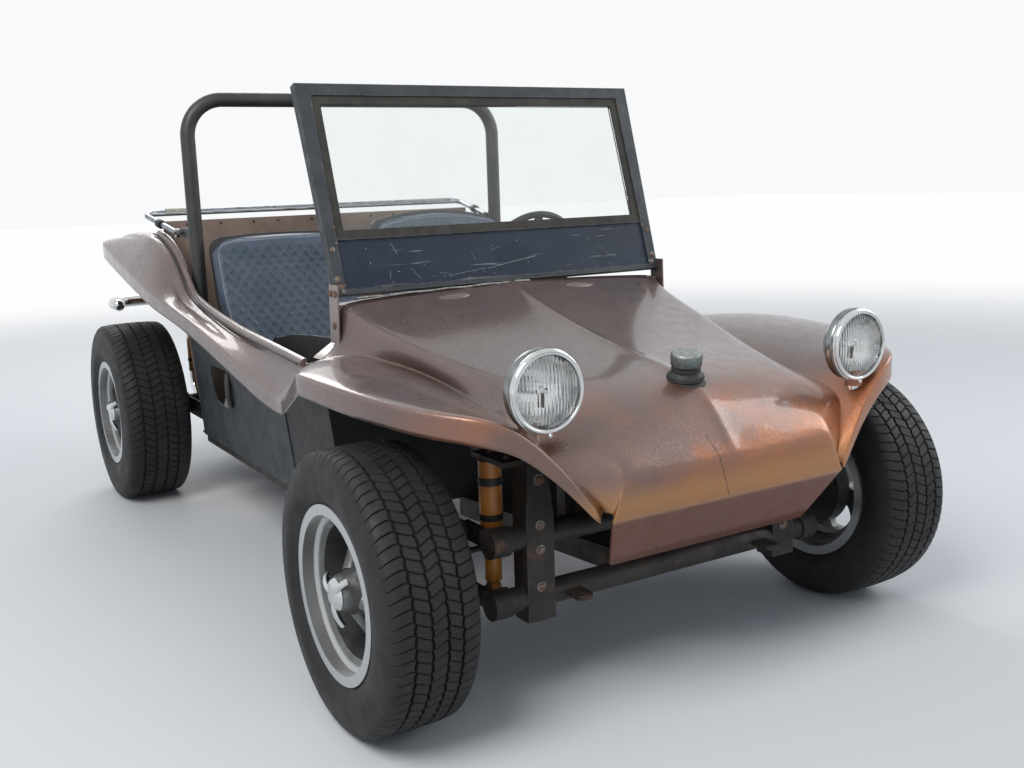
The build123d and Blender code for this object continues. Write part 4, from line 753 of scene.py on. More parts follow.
def rounder(path):
    # cut every corner once, keeping both ends
    cut = [path[0]]
    for a, b in zip(path, path[1:]):
        cut += [a.lerp(b, 0.25), a.lerp(b, 0.75)]
    return cut + [path[-1]]


def evenPath(points, step):
    # smooth the corners, then walk the line at even steps
    points = rounder(rounder(points))
    stations, left = [points[0]], step
    for a, b in zip(points, points[1:]):
        run = (b.xy - a.xy).length
        done = 0.0
        while run - done > left:
            done += left
            stations.append(a.lerp(b, done / run))
            left = step
        left -= run - done
    return stations


def padHalfWidth(z):
    (cushionTop, narrow), (backFoot, wide) = seatPads["cushion"], seatPads["back"]
    if z < cushionTop:
        return narrow
    if z < backFoot:
        return narrow + (z - cushionTop) / (backFoot - cushionTop) * (wide - narrow)
    return min(seatPads["topHalf"], wide + (z - backFoot) * seatPads["widening"])


def topLift(share, height, cornerZ, crownZ):
    # the rows near the top edge rise with its crown and its rounded corners
    offMiddle = abs(share) * seatPads["topHalf"]
    corner = max(0.0, offMiddle - seatPads["cornerStart"]) / seatPads["cornerRadius"]
    if corner:
        topZ = cornerZ - seatPads["cornerRadius"] * (1 - math.sqrt(max(0.0, 1 - corner ** 2)))
    else:
        topZ = crownZ - (crownZ - cornerZ) * (offMiddle / seatPads["cornerStart"]) ** 2
    flatZ = seatPads["path"][-1][1]
    follow = max(0.0, (height - seatPads["liftFrom"]) / (flatZ - seatPads["liftFrom"]))
    return follow * (topZ - flatZ - seatPads["topGap"])


def padMesh(name, centreX, cornerZ, crownZ):
    spec = seatPads
    stations = evenPath([Vector(p) for p in spec["path"]], spec["rowStep"])
    columns, edgeRound = spec["columns"], spec["edgeRound"]
    topRun = (Vector(spec["path"][-1]).xy - Vector(spec["path"][-2]).xy).normalized()
    total = spec["rowStep"] * (len(stations) - 1)
    rows, quilting = [], []
    for k, station in enumerate(stations):
        along = spec["rowStep"] * k
        halfWidth = padHalfWidth(station.y)
        ring = []
        for j in range(columns + 1):
            share = 2 * j / columns - 1
            x = share * halfWidth
            lift = topLift(share, station.y, cornerZ, crownZ)
            front = station.xy + topRun * (lift / topRun.y)
            back = station.zw + Vector(spec["backLean"]) * lift
            # the pad thins to a rounded rim
            inset = max(0.0, edgeRound - min(halfWidth - abs(x), along + 4, total - along + 3))
            drop = edgeRound - math.sqrt(max(0.0, edgeRound * edgeRound - inset * inset))
            spot = back.lerp(front, max(spec["thinnest"], 1 - drop / (front - back).length))
            ring.append(Vector((centreX + x, spot.x, spot.y)) * 0.001)
            quilting.append((x, along + lift, min(halfWidth - abs(x), total - along, along + 40)))
        for j in range(columns, -1, -spec["backStep"]):
            share = 2 * j / columns - 1
            back = station.zw + Vector(spec["backLean"]) * topLift(share, station.y, cornerZ, crownZ)
            ring.append(Vector((centreX + share * halfWidth, back.x, back.y)) * 0.001)
            quilting.append((0.0, 0.0, -1.0))
        rows.append(ring)
    # the welt runs up one side, over the top and down the other
    step = spec["seamStep"]
    seam = [ring[1] for ring in rows[4:-1:step]]
    seam += [rows[-2][j] for j in range(2, columns - 1, step)]
    seam += [ring[columns - 1] for ring in rows[-2:3:-step]]
    spec["seams"][name] = seam
    mesh = gridMesh(name, rows, closeColumns=True)
    work = bmesh.new()
    work.from_mesh(mesh)
    work.verts.ensure_lookup_table()
    count = len(rows[0])
    work.faces.new(work.verts[:count])
    work.faces.new(reversed(work.verts[-count:]))
    bmesh.ops.recalc_face_normals(work, faces=work.faces)
    work.to_mesh(mesh)
    work.free()
    quilt = mesh.attributes.new("quilt", "FLOAT_VECTOR", "POINT")
    for item, spot in zip(quilt.data, quilting):
        item.vector = spot
    return mesh


def swell(made, spec):
    # cloth pressure rounds the pad; the back and the rim stay in the shell
    cloth = made.modifiers.new("cloth", "CLOTH")
    cloth.settings.use_pressure = True
    cloth.settings.uniform_pressure_force = spec["pressure"]
    cloth.settings.effector_weights.gravity = 0
    cloth.settings.quality = 4
    cloth.point_cache.frame_end = spec["frames"]
    for frameNumber in range(1, spec["frames"] + 1):
        view.frame_set(frameNumber)
    swollen = made.evaluated_get(bpy.context.evaluated_depsgraph_get()).data
    moved = [v.co.copy() for v in swollen.vertices]
    made.modifiers.remove(cloth)
    view.frame_set(1)
    for vertex, end, item in zip(made.data.vertices, moved, made.data.attributes["quilt"].data):
        shift = end - vertex.co
        reach = spec["cap"] * min(1.0, max(0.0, item.vector.z) / spec["capReach"])
        if shift.length > reach:
            shift *= reach / shift.length
        vertex.co += shift


def stitchDiamonds(made, spec):
    subdivided = made.modifiers.new("subdivision", "SUBSURF")
    subdivided.levels = 1
    fine = bpy.data.meshes.new_from_object(made.evaluated_get(bpy.context.evaluated_depsgraph_get()))
    made.modifiers.remove(subdivided)
    normals = [v.normal.copy() for v in fine.vertices]
    for vertex, normal, item in zip(fine.vertices, normals, fine.attributes["quilt"].data):
        x, along, rim = item.vector
        if rim < spec["plainRim"]:
            continue
        slanted = along * spec["diamondSlope"]
        seams = [abs(math.sin(math.pi * (x + side * slanted) / spec["diamond"])) for side in (1, -1)]
        rise = spec["puff"] * min(seams) ** spec["puffRound"] - spec["stitchDip"]
        vertex.co += normal * (0.001 * rise * min(1.0, (rim - spec["plainRim"]) / spec["rimFade"]))
    made.data = fine
    fine.shade_smooth()


# vinyl with a dashed thread along every diamond
vinyl = makeFinish("quilted vinyl", {
    "color": (0.05, 0.072, 0.105), "tone": (0.075, 0.098, 0.135), "toneScale": 7.0, "rough": 0.46, "spread": 0.09,
    "grain": (850.0, 0.00012), "specular": 0.4, "dust": 0.22, "dustColor": (0.2, 0.19, 0.17),
})
thread = {"half": 0.03, "dash": 5.2, "gap": 0.28, "share": 0.6, "color": (0.2, 0.24, 0.28), "relief": 0.0006, "rim": 20.0}
tree = vinyl.node_tree
quiltAt = split(tree, addNode(tree, "Attribute", attribute_name="quilt").outputs["Vector"])
slanted = times(tree, quiltAt["Y"], seatPads["diamondSlope"])
# both slants, moved by whole turns so that no fraction is taken of a negative number
slants = [calc(tree, operation, quiltAt["X"], slanted) for operation in ("ADD", "SUBTRACT")]
stitched = []
for across, along in (slants, slants[::-1]):
    turnsAt = calc(tree, "ADD", calc(tree, "DIVIDE", across, seatPads["diamond"]), 100.5)
    offLine = calc(tree, "ABSOLUTE", calc(tree, "SUBTRACT", calc(tree, "FRACT", turnsAt), 0.5))
    onLine = calc(tree, "LESS_THAN", offLine, thread["half"])
    dashesAt = calc(tree, "DIVIDE", calc(tree, "ADD", along, 5000.0), thread["dash"])
    stitched.append(times(tree, onLine, calc(tree, "GREATER_THAN", calc(tree, "FRACT", dashesAt), thread["gap"])))
insideRim = calc(tree, "GREATER_THAN", quiltAt["Z"], thread["rim"])
threadMask = times(tree, calc(tree, "MAXIMUM", *stitched), insideRim)
tint(vinyl, times(tree, threadMask, thread["share"]), thread["color"])
emboss(vinyl, threadMask, thread["relief"])
sheen = {"Sheen Weight": 0.12, "Sheen Roughness": 0.4}
for name, value in sheen.items():
    tree.nodes["Principled BSDF"].inputs[name].default_value = value
finishes["quilted_vinyl"] = vinyl

seatPieces = []
for sideName, (centreX, cornerZ, crownZ) in seatPads["side"].items():
    name = "seatPad" + sideName.title()
    pad = addObject(name, padMesh(name, centreX, cornerZ, crownZ), vinyl, smooth=0)
    swell(pad, seatPads)
    stitchDiamonds(pad, seatPads)
    if not pad.data.materials:
        pad.data.materials.append(vinyl)
    seatPieces.append(pad)
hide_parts("seat_pads")
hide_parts("seat_pads")
print("seat pads quilted")

# tyres: one ring of tread each, with zigzag grooves, block cuts and fine sipes
tread = {
    "pitches": 76, "shares": (0.0, 0.07, 0.5, 0.93), "depth": 7.5, "grooves": (-0.62, -0.21, 0.21, 0.62),
    "grooveHalf": 3.8, "grooveFoot": 0.6, "grooveRamp": 7, "zigzag": 1.7, "blockCut": 3.6, "wave": 0.32,
    "wavePeriod": 15, "shoulderNotch": 4.5, "edgeInset": 25, "crownFall": 3.2,
    # the side from the bead out to the tread: inset from the widest point and radius
    "side": [
        (37.4, 190.8), (19.4, 190.8), (18.9, 209), (14.4, 214), (9, 222), (4, 236), (2.5, 238), (2, 243), (0.5, 246),
        (0, 262), (1, 278),
    ],
    # the shoulder: inset, drop below the tread and share of the notch
    "shoulder": [(5, 36, 0), (9, 20, 0.3), (15, 11, 1), (23, 5, 1)],
    "liner": {"wallInset": 16, "wallRadius": 262, "edgeInset": 28, "edgeDrop": 22, "drop": 20},
    "lipInset": 12, "sipes": 3.0, "sipeStart": 0.5, "sipeShare": 0.13, "sipeReach": 86.0, "sipeDepth": 0.004,
    "sipeShadeColor": (0.002, 0.002, 0.002),
}


def tyreMaterial():
    material = makeFinish("tyre rubber", {
        "color": (0.008, 0.0085, 0.009), "tone": (0.014, 0.0145, 0.015), "toneScale": 12.0, "rough": 0.62, "spread": 0.08,
        "grain": (900.0, 0.00012), "dust": 0.12, "dustColor": (0.07, 0.066, 0.06), "specular": 0.4,
    })
    # u counts pitches round the tyre, v is millimetres across the tread
    tree = material.node_tree
    wrap = split(tree, addNode(tree, "UVMap", uv_map="wrap").outputs["UV"])
    turnsAt = calc(tree, "ADD", times(tree, wrap["X"], tread["sipes"]), tread["sipeStart"])
    slit = calc(tree, "LESS_THAN", calc(tree, "FRACT", turnsAt), tread["sipeShare"])
    onTread = calc(tree, "LESS_THAN", calc(tree, "ABSOLUTE", wrap["Y"]), tread["sipeReach"])
    cut = times(tree, slit, onTread)
    # painted shade: the sipe slits are darkened as well as pressed in
    tint(material, cut, tread["sipeShadeColor"])
    emboss(material, restOf(tree, cut), tread["sipeDepth"])
    return material


def treadProfile(half, radius, shift, notch, cut):
    side = [(half - inset, r) for inset, r in tread["side"]]
    side += [(half - inset, radius - drop - notch * share) for inset, drop, share in tread["shoulder"]]
    edge, groove, ramped = half - tread["edgeInset"], tread["grooveHalf"], tread["grooveRamp"]
    outer = max(tread["grooves"])
    line = []
    for place in tread["grooves"]:
        # inner and outer grooves swing opposite ways
        centre = place * edge + (-shift if abs(place) == outer else shift)
        foot = groove * tread["grooveFoot"]
        line += [(centre - groove - ramped, -cut), (centre - groove, -cut), (centre - foot, -tread["depth"])]
        line += [(centre + foot, -tread["depth"]), (centre + groove, -cut), (centre + groove + ramped, -cut)]
    line = [(x, radius - tread["crownFall"] * (x / edge) ** 2 + d) for x, d in line]
    liner = tread["liner"]
    inner = [(half - liner["wallInset"], liner["wallRadius"]), (half - liner["edgeInset"], radius - liner["edgeDrop"])]
    inner += [(0, radius - liner["drop"])]
    ring = [(-x, r) for x, r in side] + line + [(x, r) for x, r in reversed(side)]
    return ring + inner + [(-x, r) for x, r in reversed(inner[:-1])]


def tyreRows(spec, sign):
    # rows of points round the tyre, and the wrap of each point
    half, radius = spec["width"] / 2, spec["radius"]
    centreX = spec["rimX"] + tread["lipInset"] - half
    rows, wraps = [], []
    for turn in range(tread["pitches"]):
        for part, share in enumerate(tread["shares"]):
            pitch = turn + share
            shift = tread["zigzag"] * (1 if part < 2 else -1)
            notch, cut = (tread["shoulderNotch"], tread["blockCut"]) if part == 0 else (0, 0)
            row, wrap = [], []
            for x, r in treadProfile(half, radius, shift, notch, cut):
                # the cuts wander across the ribs
                onCrown = min(1.0, max(0.0, (r - radius + 40) / 25))
                wave = tread["wave"] * math.sin(x / tread["wavePeriod"]) * onCrown
                angle = 2 * math.pi * (pitch + wave) / tread["pitches"]
                spot = (sign * (centreX + x), spec["axleY"] + r * math.cos(angle), radius + r * math.sin(angle))
                row.append(Vector(spot) * 0.001)
                wrap.append((pitch, x if r > radius - 30 else 500))
            rows.append(row)
            wraps.append(wrap)
    return rows, wraps


for place, spec in wheelSpecs.items():
    rubber = tyreMaterial()
    for sideName, sign in (("left", 1), ("right", -1)):
        rows, wraps = tyreRows(spec, sign)
        mesh = gridMesh(place + "Tread" + sideName.title(), rows, closeRows=True, closeColumns=True)
        if sign > 0:
            mesh.flip_normals()
        layer = mesh.uv_layers.new(name="wrap")
        count = len(rows[0])
        for poly in mesh.polygons:
            corners = [divmod(mesh.loops[c].vertex_index, count) for c in poly.loop_indices]
            turns = [k for k, j in corners]
            closing = max(turns) - min(turns) > 1  # the last row meets the first
            for c, (k, j) in zip(poly.loop_indices, corners):
                u, v = wraps[k][j]
                layer.data[c].uv = (u + (tread["pitches"] if closing and k == 0 else 0), v)
        made = addObject(mesh.name, mesh, rubber, "wheel_" + place + "_" + sideName, smooth=32)
        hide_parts(place + "_tyre_" + sideName)
print("tyres made")


def turned(profile, origin, axis, steps=40, ribs=0.0):
    # a line of (radius, reach) turned about an axis, as points and faces; ribs sink every second step
    axis = Vector(axis).normalized()
    side = axis.orthogonal().normalized()
    other = axis.cross(side)
    points = []
    for k in range(steps):
        angle = 2 * math.pi * k / steps
        radial = side * math.cos(angle) + other * math.sin(angle)
        for radius, reach in profile:
            sunk = ribs if k % 2 and radius > 1 else 0.0
            points.append(Vector(origin) + axis * reach + radial * (radius - sunk))
    return points, gridFaces(steps, len(profile), closeRows=True)


def swept(path, radius, steps=10, flat=1.0):
    # a round or flattened bar along a smooth path, as points and faces
    path = [Vector(p) for p in path]
    for _ in range(3 if len(path) > 2 else 0):
        path = rounder(path)
    points = []
    side = (path[1] - path[0]).normalized().orthogonal().normalized()
    for k, spot in enumerate(path):
        ahead = (path[min(k + 1, len(path) - 1)] - path[max(k - 1, 0)]).normalized()
        side = (side - ahead * side.dot(ahead)).normalized()
        other = ahead.cross(side)
        for j in range(steps):
            angle = 2 * math.pi * j / steps
            points.append(spot + side * (radius * math.cos(angle)) + other * (radius * flat * math.sin(angle)))
    last = (len(path) - 1) * steps
    ends = [tuple(reversed(range(steps))), tuple(range(last, last + steps))]
    return points, gridFaces(len(path), steps, closeColumns=True) + ends


def joined(name, pieces, finish, body="chassis", smooth=35):
    # pieces in millimetres become one object in metres
    mesh = bpy.data.meshes.new(name)
    points, faces = [], []
    for piecePoints, pieceFaces in pieces:
        faces += [tuple(v + len(points) for v in face) for face in pieceFaces]
        points += piecePoints
    mesh.from_pydata([Vector(p) * 0.001 for p in points], [], faces)
    work = bmesh.new()
    work.from_mesh(mesh)
    bmesh.ops.remove_doubles(work, verts=work.verts, dist=1e-6)
    bmesh.ops.recalc_face_normals(work, faces=work.faces)
    work.to_mesh(mesh)
    work.free()
    return addObject(name, mesh, finishes[finish], body, smooth)


def hexBolt(origin, axis, size):
    # six-sided head on a round washer
    head = [(0, size * 0.75), (size * 0.8, size * 0.75), (size, size * 0.55), (size, 0)]
    washer = [(0, 1.6), (size * 1.5, 1.4), (size * 1.6, 0.7), (size * 1.6, -0.5)]
    return [turned(head, origin, axis, 6), turned(washer, origin, axis, 20)]


def bothSides(spot):
    return [(sign * spot[0], spot[1], spot[2]) for sign in (-1, 1)]


forward, rearward, upward = (0, -1, 0), (0, 1, 0), (0, 0, 1)

# headlamps: rolled bezel, bowl and band, bulb in its socket with a shield, collar on the stalk and a clamp screw
lampParts = {
    "centre": (472, -1635, 803), "rim": 86, "roll": 4.2, "rollReach": 5, "rollTurn": (1.2, 0.25), "rollSteps": 12,
    "bezelFoot": [(90.4, -10), (91.8, -7), (91.6, 0)], "bezelEnd": [(80.5, 3)],
    "bowl": [(93, -6), (89, -6), (81, -33), (61, -61.2), (34.5, -77.2), (0, -81)],
    "band": [(90, -30), (91.6, -28), (92, -13), (90.4, -10)],
    "socket": [(0, -66), (14, -66), (15, -52), (11, -40), (0, -38)],
    "bulb": [(0, -14), (7, -16), (9.5, -24), (8, -34), (6, -40), (0, -41)],
    "screw": (0, -8, -93), "screwSize": 3.2, "shield": [(0, 20, -6), (-3, 22, -34)], "shieldRadius": 5,
    "stalk": (500, -1600, 698), "collar": [(25, -6), (24.5, 2), (23, 6), (22.8, 40)],
}
bezelLine = list(lampParts["bezelFoot"])
for k in range(lampParts["rollSteps"] + 1):
    sweep, start = lampParts["rollTurn"]
    angle = math.pi * (k / lampParts["rollSteps"] * sweep - start)
    reach = lampParts["rollReach"] + lampParts["roll"] * math.sin(angle)
    bezelLine.append((lampParts["rim"] + lampParts["roll"] * math.cos(angle), reach))
bezelLine += lampParts["bezelEnd"]
bezels, shells, bulbs, shields, stalks = [], [], [], [], []
for spot, stalk in zip(bothSides(lampParts["centre"]), bothSides(lampParts["stalk"])):
    bezels.append(turned(bezelLine, spot, forward, 72))
    shells += [turned(lampParts[line], spot, forward, 72) for line in ("bowl", "band")]
    bezels.append(turned(lampParts["socket"], spot, forward, 24))
    bezels += hexBolt(Vector(spot) + Vector(lampParts["screw"]), forward, lampParts["screwSize"])
    bulbs.append(turned(lampParts["bulb"], spot, forward, 20))
    shields.append(swept([Vector(spot) + Vector(offset) for offset in lampParts["shield"]], lampParts["shieldRadius"]))
    stalks.append(turned(lampParts["collar"], stalk, upward))
# the bowls and bands take the darkened chrome, a painted dark reflection
joined("lampShells", shells, "lampShell")
joined("lampShields", shields, "dark_steel")
joined("lampStalks", stalks, "body_paint", smooth=50)
joined("lampBezels", bezels, "chrome")
joined("lampBulbs", bulbs, "lamp_glass")

# filler: slumped rubber boot under a knurled cap gone dull, with a painted highlight making it paler on top
filler = {
    "spot": (0, -1520, 744), "lean": (-0.1, -0.2, 1), "capReach": 51, "knurl": 0.9,
    "boot": [
        (45, -8), (50, 0), (50, 7), (45, 11), (43, 15), (46, 20), (44, 27), (38, 31), (35, 37), (36, 43), (34, 49),
        (27, 50), (25, 45),
    ],
    "cap": [(27, 0), (36, 0), (38, 3), (38, 25), (36, 29)], "neck": [(25.5, -44), (25.5, 1), (27, 1)],
    "top": [(35.4, 28.4), (33, 31.5), (29, 32.5), (27, 31), (12, 32.5), (0, 33)],
    # how far the rubber has sunk, in metres, and how it dents
    "slump": 0.25, "middle": 1.52, "dent": 0.0022, "dentX": 150, "dentY": 130, "firmZ": 0.745, "softening": 0.03,
}
boot = joined("fillerBoot", [turned(filler["boot"], filler["spot"], filler["lean"], 56)], "black_rubber")
for vertex in boot.data.vertices:
    # sunk at the left rear, and only above the foot
    x, y, z = vertex.co
    dent = filler["dent"] * math.sin(x * filler["dentX"]) * math.cos(y * filler["dentY"])
    sunk = max(0.0, x + y + filler["middle"]) * filler["slump"] + dent
    vertex.co.z -= sunk * min(1.0, max(0.0, (z - filler["firmZ"]) / filler["softening"]))
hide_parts("filler_boot")
capAt = Vector(filler["spot"]) + Vector(filler["lean"]).normalized() * filler["capReach"]
knurled = turned(filler["cap"], capAt, filler["lean"], 96, filler["knurl"])
capNeck = turned(filler["neck"], capAt, filler["lean"])
cap = joined("fillerCap", [knurled, capNeck], "dulledCap")
# the cap's top takes the paler finish, a painted highlight
joined("fillerCapTop", [turned(filler["top"], capAt, filler["lean"], 48)], "paleCap")
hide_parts("filler_cap")

# welted seam round each seat pad
welt = {"lift": 0.0012, "radius": 3.4}
welts = []
for pad in seatPieces:
    skin = BVHTree.FromPolygons([v.co for v in pad.data.vertices], [p.vertices for p in pad.data.polygons])
    line = []
    for point in seatPads["seams"][pad.name]:
        spot, normal = skin.find_nearest(point)[:2]
        line.append((spot + normal * welt["lift"]) * 1000)
    welts.append(swept(line, welt["radius"], 7))
joined("seatPiping", welts, "seatPiping", smooth=60)

# two blisters on the cowl, and the pale sealer left under the screen
blister = {
    "x": 220, "y": -770, "long": 54, "wide": 21, "high": 12, "roundness": 0.8, "rings": 6, "steps": 24,
    # the cowl's own height there: at the middle, its fall outward and its rise rearward
    "cowlZ": 918, "cowlY": -768, "fall": 0.062, "rise": 0.42,
}
blisters = []
for sign in (-1, 1):
    points = []
    for ring in range(blister["rings"] + 1):
        lift = math.cos(ring / blister["rings"] * math.pi / 2)
        spread = math.sin(ring / blister["rings"] * math.pi / 2)
        for k in range(blister["steps"]):
            angle = 2 * math.pi * k / blister["steps"]
            x = sign * blister["x"] + blister["long"] * spread * math.cos(angle)
            y = blister["y"] + blister["wide"] * spread * math.sin(angle)
            z = blister["cowlZ"] - (abs(x) - blister["x"]) * blister["fall"] + (y - blister["cowlY"]) * blister["rise"]
            points.append(Vector((x, y, z + blister["high"] * lift ** blister["roundness"])))
    blisters.append((points, gridFaces(blister["rings"] + 1, blister["steps"], closeColumns=True)))
joined("cowlBlisters", blisters, "body_paint", smooth=60)
sealer = {"x": range(-500, 80, 20), "y": -736, "z": 944, "fall": 0.018, "radius": 2.6}
sealer["waves"] = {"y": (1.2, 0.11), "z": (1.0, 0.05)}
bead = []
for x in sealer["x"]:
    waveY, waveZ = (height * math.sin(x * turn) for height, turn in sealer["waves"].values())
    bead.append((x, sealer["y"] + waveY, sealer["z"] - abs(x) * sealer["fall"] + waveZ))
joined("screenSealer", [swept(bead, sealer["radius"], 6)], "oldSealer")

# screws and hinges of the screen, scratches and chips on its lower panel
screen = {
    "foot": Vector((0, -726, 947)), "up": Vector((0, 0.304, 0.9527)), "out": Vector((0, -0.9527, 0.304)),
    # along and up the screen, then the size
    "bolts": [(-546, 127, 5), (-547, 43, 6), (-541, 22, 5), (-536, 8, 4), (546, 127, 5), (547, 43, 6), (541, 22, 5)],
    "rivetX": 530, "rivetUp": (24, 145, 190, 540), "rivet": [(0, 1.8), (3, 1.5), (4.2, 0)],
    "hinge": ((-730, 950), (-702, 950), (-718, 862)), "hingeX": 563.6, "hingeTop": 975, "flare": 0.025, "hingeBolt": 6.5,
    # ends along and up the screen, then the width
    "scores": [
        (-368, 138, -352, 106, 0.45), (-380, 60, -386, 34, 0.35), (-317, 61, -292, 28, 0.5), (-201, 29, -75, 44, 0.55),
        (-66, 43, 105, 69, 0.7), (-112, 98, -104, 70, 0.3), (-230, 41, -190, 34, 0.4), (-46, 96, -8, 108, 0.3),
        (60, 61, 128, 77, 0.35), (-420, 18, -330, 16, 0.5), (-290, 12, -120, 15, 0.6), (210, 30, 236, 34, 0.3),
        (300, 118, 322, 104, 0.3),
    ],
    "scoreOut": -5.8, "scoreBend": 1.5,
}
chips = {
    "seed": 7, "count": 34, "half": 500, "low": 14, "span": 135, "stepX": 7, "stepUp": 6, "wide": (0.3, 0.9), "out": -5.7,
}


def onScreen(x, slant, out=0.0):
    return screen["foot"] + Vector((x, 0, 0)) + screen["up"] * slant + screen["out"] * out


screenBolts = []
for x, slant, size in screen["bolts"]:
    screenBolts += hexBolt(onScreen(x, slant), screen["out"], size)
for x in (-screen["rivetX"], screen["rivetX"]):
    screenBolts += [turned(screen["rivet"], onScreen(x, slant), screen["out"], 14) for slant in screen["rivetUp"]]
for sign in (-1, 1):
    for y, z in screen["hinge"]:
        x = screen["hingeX"] + (screen["hingeTop"] - z) * screen["flare"]
        screenBolts += hexBolt((sign * x, y, z), (sign, 0, 0), screen["hingeBolt"])
joined("screenBolts", screenBolts, "oldBolt")
marks = []
for startX, startUp, endX, endUp, wide in screen["scores"]:
    bend = ((startX + endX) / 2, (startUp + endUp) / 2 + screen["scoreBend"])
    line = [onScreen(x, up, screen["scoreOut"]) for x, up in ((startX, startUp), bend, (endX, endUp))]
    marks.append(swept(line, wide, 4))
scatter = random.Random(chips["seed"])
for _ in range(chips["count"]):
    # closer together towards the lower edge
    x, up = scatter.uniform(-chips["half"], chips["half"]), chips["low"] + chips["span"] * scatter.random() ** 2
    endX = x + scatter.uniform(-chips["stepX"], chips["stepX"])
    endUp = up + scatter.uniform(-chips["stepUp"], chips["stepUp"])
    line = [onScreen(x, up, chips["out"]), onScreen(endX, endUp, chips["out"])]
    marks.append(swept(line, scatter.uniform(*chips["wide"]), 4))
joined("panelScratches", marks, "barePrimer")

# rolled rim along the tub's edge, from the cockpit up to the bulkhead
rimBar = {
    "rows": (11, 21), "across": 15, "up": 4, "half": 15, "flat": 0.55, "gapOut": 2.5, "gapDown": 1.5, "gapRadius": 3.2,
}
rims, gaps = [], []
for sign in (-1, 1):
    first, last = rimBar["rows"]
    line = [(sign * (row[0] + rimBar["across"]), row[1], row[2] + rimBar["up"]) for row in sideRows[first:last + 1]]
    rims.append(swept(line, rimBar["half"], 12, rimBar["flat"]))
    # a thin black bar beside each rim is painted shade, standing in for the groove between the rim and the fender
    outward = sign * (rimBar["half"] + rimBar["gapOut"])
    gaps.append(swept([(x + outward, y, z - rimBar["gapDown"]) for x, y, z in line], rimBar["gapRadius"], 7))
joined("tubRims", rims, "body_paint", smooth=60)
joined("tubRimGrooveShade", gaps, "black_rubber", smooth=60)

# closed ends of the bumper bar, dark bands on the shock absorbers
barEnd = {"spot": (670, 1504.5, 750), "line": [(25.5, -1), (25.5, 0), (24.6, 6), (21, 12), (13, 16.5), (0, 18)]}
joined("bumperEnds", [turned(barEnd["line"], spot, forward, 32) for spot in bothSides(barEnd["spot"])], "chrome")
# foot of each band, its radius and height
shockBands = [((455, -1350, 450), 28, 16), ((455, -1350, 536), 28, 20), ((448, 1170, 520), 27, 16)]
bands = []
for foot, radius, tall in shockBands:
    band = [(radius, 0), (radius + 1.6, 1), (radius + 1.6, tall - 1), (radius, tall)]
    bands += [turned(band, spot, upward, 32) for spot in bothSides(foot)]
joined("shockBands", bands, "black_rubber")

# folded bow: cream sleeve, dark clamps and a second thin tube inside the first
bowParts = {
    "inner": [(657, 556, 1101), (676, 775, 1143.5), (681, 812, 1150), (655, 818, 1151)], "innerRadius": 6.5,
    "sleeve": [(-598, 850, 1158), (-520, 850, 1158)], "sleeveRadius": 14.5,
    "arm": (35, 350, 68), "clampAt": (669, 660, 1121), "boltOut": 15, "boltSize": 5,
    "clamp": [(10.4, -17), (15, -17), (16.5, -13), (16.5, 13), (15, 17), (10.4, 17)],
}
innerBow = [(-x, y, z) for x, y, z in bowParts["inner"]] + bowParts["inner"][::-1]
joined("innerBow", [swept(innerBow, bowParts["innerRadius"], 12)], "bowSteel", "top_bow")
joined("bowSleeve", [swept(bowParts["sleeve"], bowParts["sleeveRadius"], 20)], "creamSleeve", "top_bow")
clamps = []
for sign, arm, spot in zip((-1, 1), bothSides(bowParts["arm"]), bothSides(bowParts["clampAt"])):
    clamps.append(turned(bowParts["clamp"], spot, arm, 20))
    clamps += hexBolt(Vector(spot) + Vector((sign * bowParts["boltOut"], 0, 0)), (sign, 0, 0), bowParts["boltSize"])
joined("bowClamps", clamps, "black_trim", "top_bow")

# hatch in the side panel: a bent pipe and a small canister
hatch = {
    "pipe": [(-584, 232, 486), (-598, 214, 520), (-600, 210, 560), (-592, 226, 606)], "pipeRadius": 11,
    "canister": [(0, 0), (15, 0), (17, 3), (17, 30), (15, 33), (0, 34)], "canisterAt": (-578, 262, 512),
    "canisterAxis": (-0.2, 0.1, -1),
}
joined("hatchPipe", [swept(hatch["pipe"], hatch["pipeRadius"], 12)], "brown_steel")
joined("hatchCanister", [turned(hatch["canister"], hatch["canisterAt"], hatch["canisterAxis"], 28)], "cast_alloy")

# bulkhead screws, tail-lamp bezels
bulkhead = {"screwX": (-560, -430, -300, -200, -60, 60, 200, 300, 430, 560), "y": 700, "z": 1112}
bulkhead["screw"] = [(0, 2.4), (4, 2.0), (5.4, 0)]
smallScrews = []
for x in bulkhead["screwX"]:
    smallScrews.append(turned(bulkhead["screw"], (x, bulkhead["y"], bulkhead["z"]), forward, 12))
joined("bulkheadScrews", smallScrews, "dark_steel")
tailRing = {"spot": (430, 1441, 944), "line": [(38.6, -6), (43, -2), (44, 4), (42, 9), (38.4, 11)]}
tailRings = [turned(tailRing["line"], spot, rearward, 48) for spot in bothSides(tailRing["spot"])]
joined("tailLampBezels", tailRings, "chrome")

